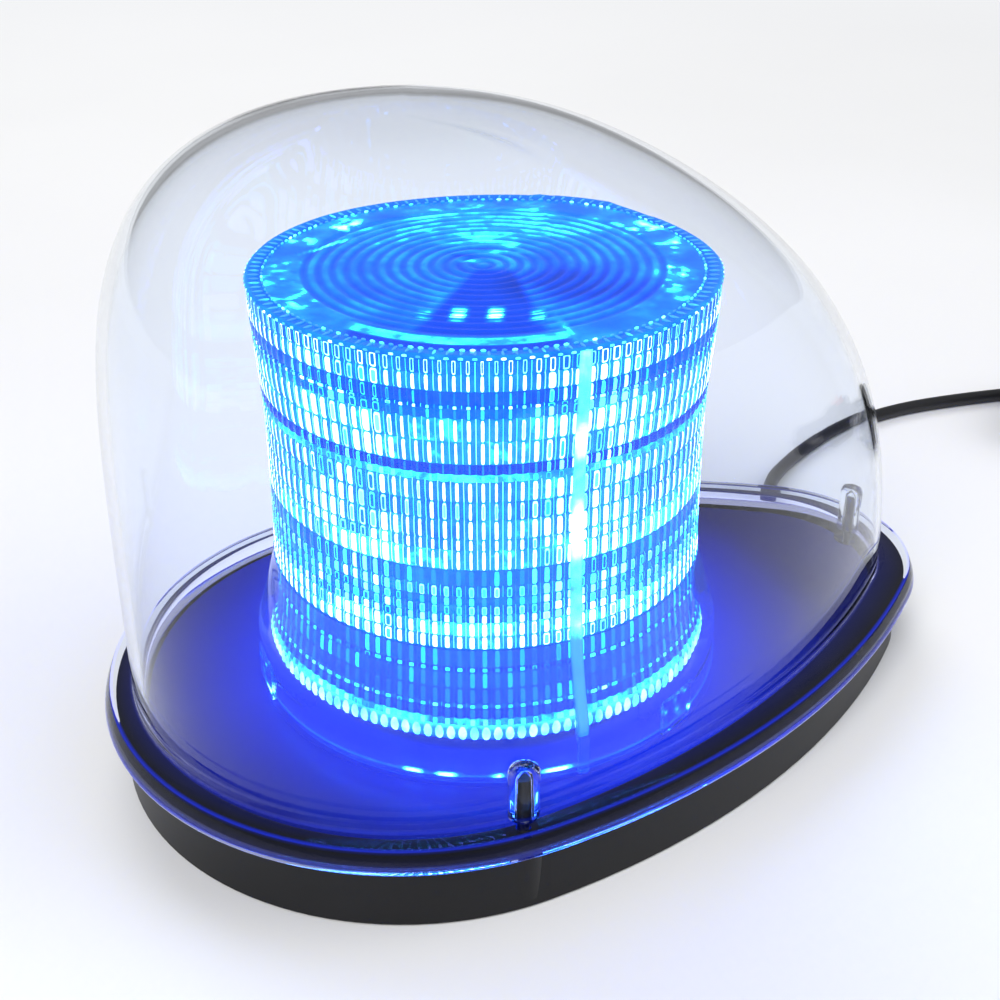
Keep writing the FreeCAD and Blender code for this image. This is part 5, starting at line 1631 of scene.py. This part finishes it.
@dataclass(frozen=True)
class CordRoute:
    """The flexible cord, from the grommet in the tail to the plug's relief."""

    diameter: float = 4.8
    tube: tuple = (
        (120.77, 38.65, 10.0), (128.90, 50.04, 10.0), (138.0, 61.6, 6.4), (151.0, 73.0, 3.1),
        (171.5, 84.0, 2.4), (194.5, 91.4, 2.4), (220.0, 93.8, 2.4), (246.0, 90.2, 2.4),
        (269.8, 84.9, 2.4),
    )
    tail: tuple = ((315.8, 38.4, 16.2), (316.0, 30.6, 14.0), (315.8, 23.0, 13.6))
    coil_centre: tuple = (282.2, 45.9)
    coil_inner: float = 19.2
    coil_outer: float = 33.6
    coil_entry: float = 73.0
    layers: int = 4
    layer_turns: float = 3.05
    climb_bulge: float = 2.1
    points_a_turn: int = 20
    sleeve_ribs: int = 6
    sleeve_share: float = 0.62
    sleeve_start: float = 3.7
    sleeve_end: float = 2.75
    tie_slack: float = 4.9
    tie_thick: float = 0.8
    tie_width: float = 6.0
    tie_bearings: tuple = (-75.0, 165.0)
    tie_corners: tuple = (6.0, 2.4)
    rib_groove: float = 0.28

    def coil(self) -> list[tuple]:
        """Lists the coil's control points: flat spirals, each a cord's width above the last.

        Returns:
            The points, in millimetres.
        """
        points = []
        turned = 0.0
        for layer in range(self.layers):
            inwards = layer % 2 == 0
            start, end = (self.coil_outer, self.coil_inner) if inwards else (self.coil_inner, self.coil_outer)
            level = self.diameter * (0.5 + layer)
            steps = round(self.layer_turns * self.points_a_turn)
            for step in range(steps):
                share = step / steps
                points.append(self.spot(turned + share * self.layer_turns, mixed(start, end, share), level))
            turned += self.layer_turns
            if layer == self.layers - 1:
                points.append(self.spot(turned, end, level))
                break
            side = -1.0 if inwards else 1.0
            for step in range(self.points_a_turn):
                share = step / self.points_a_turn
                bulge = side * self.climb_bulge * min(smooth(share * 6.0), smooth((1.0 - share) * 6.0))
                points.append(self.spot(turned + share, end + bulge, level + self.diameter * share))
            turned += 1.0
        return points

    def spot(self, turned: float, radius: float, level: float) -> tuple:
        """Finds one point of the coil, in millimetres."""
        angle = math.radians(self.coil_entry - 360.0 * turned)
        x, y = self.coil_centre
        return (x + radius * math.cos(angle), y + radius * math.sin(angle), level)


@dataclass(frozen=True)
class Cord:
    """The cord's free length, the ties round its coil and the sleeve at its exit."""

    route: CordRoute = CordRoute()

    def line(self) -> Piece:
        """Builds the cord as one smooth curve.

        Returns:
            The cord.
        """
        route = self.route
        curve = bpy.data.curves.new("mains_cord", "CURVE")
        curve.dimensions = "3D"
        curve.bevel_depth = route.diameter / 2 * MM
        curve.bevel_resolution = 3
        curve.resolution_u = 4
        curve.use_fill_caps = True
        spline = curve.splines.new("NURBS")
        points = list(route.tube) + route.coil() + list(route.tail)
        spline.points.add(len(points) - 1)
        for spot, point in zip(spline.points, points):
            spot.co = (*metres(*point), 1.0)
        spline.order_u = 3
        spline.use_endpoint_u = True
        cord = added("mains_cord", curve)
        paint(cord, Look.CORD)
        LOG.info("mains_cord: %d control points", len(points))
        return cord

    def tie(self, index: int, bearing: float) -> Piece:
        """Builds one strap round the coil's turns.

        Args:
            index: The strap's number.
            bearing: Where on the coil it sits, in degrees.

        Returns:
            The closed strap.
        """
        route = self.route
        turn = math.radians(bearing)
        out = Vector((math.cos(turn), math.sin(turn), 0.0))
        along = Vector((-math.sin(turn), math.cos(turn), 0.0))
        near, far = route.coil_inner - route.tie_slack, route.coil_outer + route.tie_slack
        wide, tight = route.tie_corners
        low, high = route.tie_thick, route.diameter * route.layers + 0.5
        corners = (
            (far - wide, high - wide, wide), (near + wide, high - wide, wide),
            (near + tight, low + tight, tight), (far - tight, low + tight, tight),
        )
        sheet = Sheet()
        rings = []
        for quarter, (reach, level, corner) in enumerate(corners):
            for step in range(7):
                angle = math.radians(90.0 * quarter + 15.0 * step)
                ring = []
                for thick, side in ((0.0, 1.0), (route.tie_thick, 1.0), (route.tie_thick, -1.0), (0.0, -1.0)):
                    spread = corner + thick
                    spot = out * (reach + spread * math.cos(angle)) + along * (side * route.tie_width / 2.0)
                    x, y = route.coil_centre
                    ring.append((x + spot.x, y + spot.y, level + spread * math.sin(angle)))
                rings.append(sheet.ring(ring))
        sheet.join(rings, 4, closed=True)
        return sheet.build(f"coil_tie_{index}", Look.RUBBER)

    def sleeve(self) -> Piece:
        """Builds the tapered, ribbed sleeve that keeps the cord from kinking where it leaves the base.

        Returns:
            The closed sleeve.
        """
        route = self.route
        first, second, third = (Vector(point) for point in route.tube[:3])
        bend = (second + third) / 2.0
        count = 24
        sheet = Sheet()
        rings = []
        steps = route.sleeve_ribs * 4
        for step in range(steps + 1):
            share = step / steps
            part = mixed(-0.02, route.sleeve_share, share)
            spot = first.lerp(second, part).lerp(second.lerp(bend, part), part)
            ahead = (second.lerp(bend, part) - first.lerp(second, part)).normalized()
            side = ahead.cross(Vector((0.0, 0.0, 1.0))).normalized()
            upper = side.cross(ahead)
            radius = mixed(route.sleeve_start, route.sleeve_end, share)
            radius -= route.rib_groove if step % 4 > 1 else 0.0
            rings.append(sheet.ring([
                tuple(spot + (side * math.cos(turn) + upper * math.sin(turn)) * radius)
                for turn in turns(count)
            ]))
            last = tuple(spot)
        sheet.join(rings, count)
        sheet.fan(rings[0], tuple(first), count, False)
        sheet.fan(rings[-1], last, count, True)
        return sheet.build("cord_sleeve", Look.RUBBER)

    def build(self) -> None:
        self.sleeve()
        for index, bearing in enumerate(self.route.tie_bearings, 1):
            self.tie(index, bearing)
        cord = self.line()
        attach(cord, BODY)
        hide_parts("cord_tube", "cord_coil", "cord_tail")
        plug = [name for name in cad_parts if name.startswith("plug_") or name.endswith("_switch")]
        plug.remove("plug_tip_spring")
        plug.append("tip_spring")


# ---------------------------------------------------------------- the plug


@dataclass(frozen=True)
class TipSpring:
    """The spring behind the plug's tip, in millimetres."""

    axis: tuple = (315.8, 13.6)
    start: float = -73.0
    end: float = -65.5
    radius: float = 4.0
    wire: float = 0.45
    turns: float = 4.5
    travel: float = 4.0
    mesh: tuple = (18, 8)

    def build(self) -> None:
        """Builds the wound wire."""
        sheet = Sheet()
        steps, count = round(self.turns * self.mesh[0]), self.mesh[1]
        rings = []
        for step in range(steps + 1):
            share = step / steps
            turn = 2.0 * math.pi * self.turns * share
            out = Vector((math.cos(turn), 0.0, math.sin(turn)))
            along = mixed(self.start + self.wire, self.end - self.wire, share)
            spot = Vector((self.axis[0], along, self.axis[1])) + out * self.radius
            rings.append(sheet.ring([
                tuple(spot + (out * math.cos(bend) + Vector((0.0, math.sin(bend), 0.0))) * self.wire)
                for bend in turns(count)
            ]))
            if step in (0, steps):
                sheet.fan(rings[-1], tuple(spot), count, step > 0)
        sheet.join(rings, count)
        spring = sheet.build("tip_spring", Look.ZINC)
        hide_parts("plug_tip_spring")
        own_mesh(spring)


# ---------------------------------------------------------------- the stage


@dataclass(frozen=True)
class Lamp:
    """One soft area lamp."""

    name: str
    place: tuple
    turn: tuple
    size: float
    power: float

    def build(self) -> None:
        """Adds the lamp."""
        data = bpy.data.lights.new(self.name, "AREA")
        data.shape = "DISK"
        data.size = self.size
        data.energy = self.power
        lamp = added(self.name, data)
        lamp.location = self.place
        lamp.rotation_euler = [math.radians(part) for part in self.turn]
        lamp.visible_glossy = False
        lamp.visible_transmission = False


class Stage:
    """The pale floor, the surround, the lamps and the camera."""

    lens = (54.0, 36.0)
    shift = (-0.0024, -0.02565)
    eye = (-143.8, -307.4, 253.0)
    turn = (61.791, 0.147, -25.928)
    half = 4.0
    fade = (0.5, 1.3)
    surround = 0.38
    lamps = (
        Lamp("key", (-0.9, -0.7, 1.3), (38.0, 0.0, -52.0), 0.9, 20.5),
        Lamp("fill", (1.1, -0.6, 0.9), (52.0, 0.0, 60.0), 1.2, 8.5),
        Lamp("back", (0.2, 1.2, 1.1), (-48.0, 0.0, 0.0), 1.0, 10.0),
    )

    def camera(self) -> None:
        """Sets the camera that looks down at the dome's left side."""
        data = bpy.data.cameras.new("view")
        data.lens, data.sensor_width = self.lens
        data.shift_x, data.shift_y = self.shift
        data.clip_start = 0.01
        data.dof.use_dof = False
        eye = added("view", data)
        eye.location = metres(*self.eye)
        eye.rotation_euler = [math.radians(turn) for turn in self.turn]
        bpy.context.scene.camera = eye

    def floor(self) -> None:
        """Adds the plain pale floor, which runs into the surround where it is far away."""
        half = self.half
        corners = [(-half, -half, 0.0), (half, -half, 0.0), (half, half, 0.0), (-half, half, 0.0)]
        mesh = bpy.data.meshes.new("floor")
        mesh.from_pydata(corners, [], [(0, 1, 2, 3)])
        floor = added("floor", mesh)
        nodes = Paint("pale_floor")
        colour = nodes.ramp(nodes.speckle(3.0, 3.0), (0.3, (0.80, 0.80, 0.80)), (0.7, (0.83, 0.83, 0.83)))
        far = nodes.scaled(nodes.vector("LENGTH", nodes.place()), 0.0, 1.0, *self.fade)
        far.node.interpolation_type = "SMOOTHSTEP"
        rays = nodes.add("ShaderNodeLightPath").outputs
        seen = nodes.math("MAXIMUM", rays["Is Camera Ray"], rays["Is Glossy Ray"])
        seen = nodes.math("MAXIMUM", seen, rays["Is Transmission Ray"])
        glow = nodes.add("ShaderNodeEmission", Color=WHITE_LIGHT, Strength=1.0).outputs[0]
        shader = nodes.surface(Base_Color=colour, Roughness=0.8)
        floor.data.materials.append(nodes.close(nodes.mix(nodes.times(seen, far), shader, glow)))

    def world(self) -> None:
        """Sets a plain pale surround."""
        world = bpy.data.worlds.new("surround")
        world.use_nodes = True
        ground = world.node_tree.nodes["Background"]
        ground.inputs["Color"].default_value = WHITE_LIGHT
        ground.inputs["Strength"].default_value = self.surround
        bpy.context.scene.world = world

    def build(self) -> None:
        """Builds the stage."""
        self.camera()
        self.floor()
        self.world()
        for lamp in self.lamps:
            lamp.build()
        bpy.context.scene.view_settings.view_transform = "Standard"


def main() -> None:
    """Builds the whole look."""
    logging.basicConfig(level=logging.INFO)
    Stage().build()
    paint_frame()
    Dome().build()
    Lens().build()
    TipSpring().build()
    Cord().build()


if __name__ == "__main__":
    main()
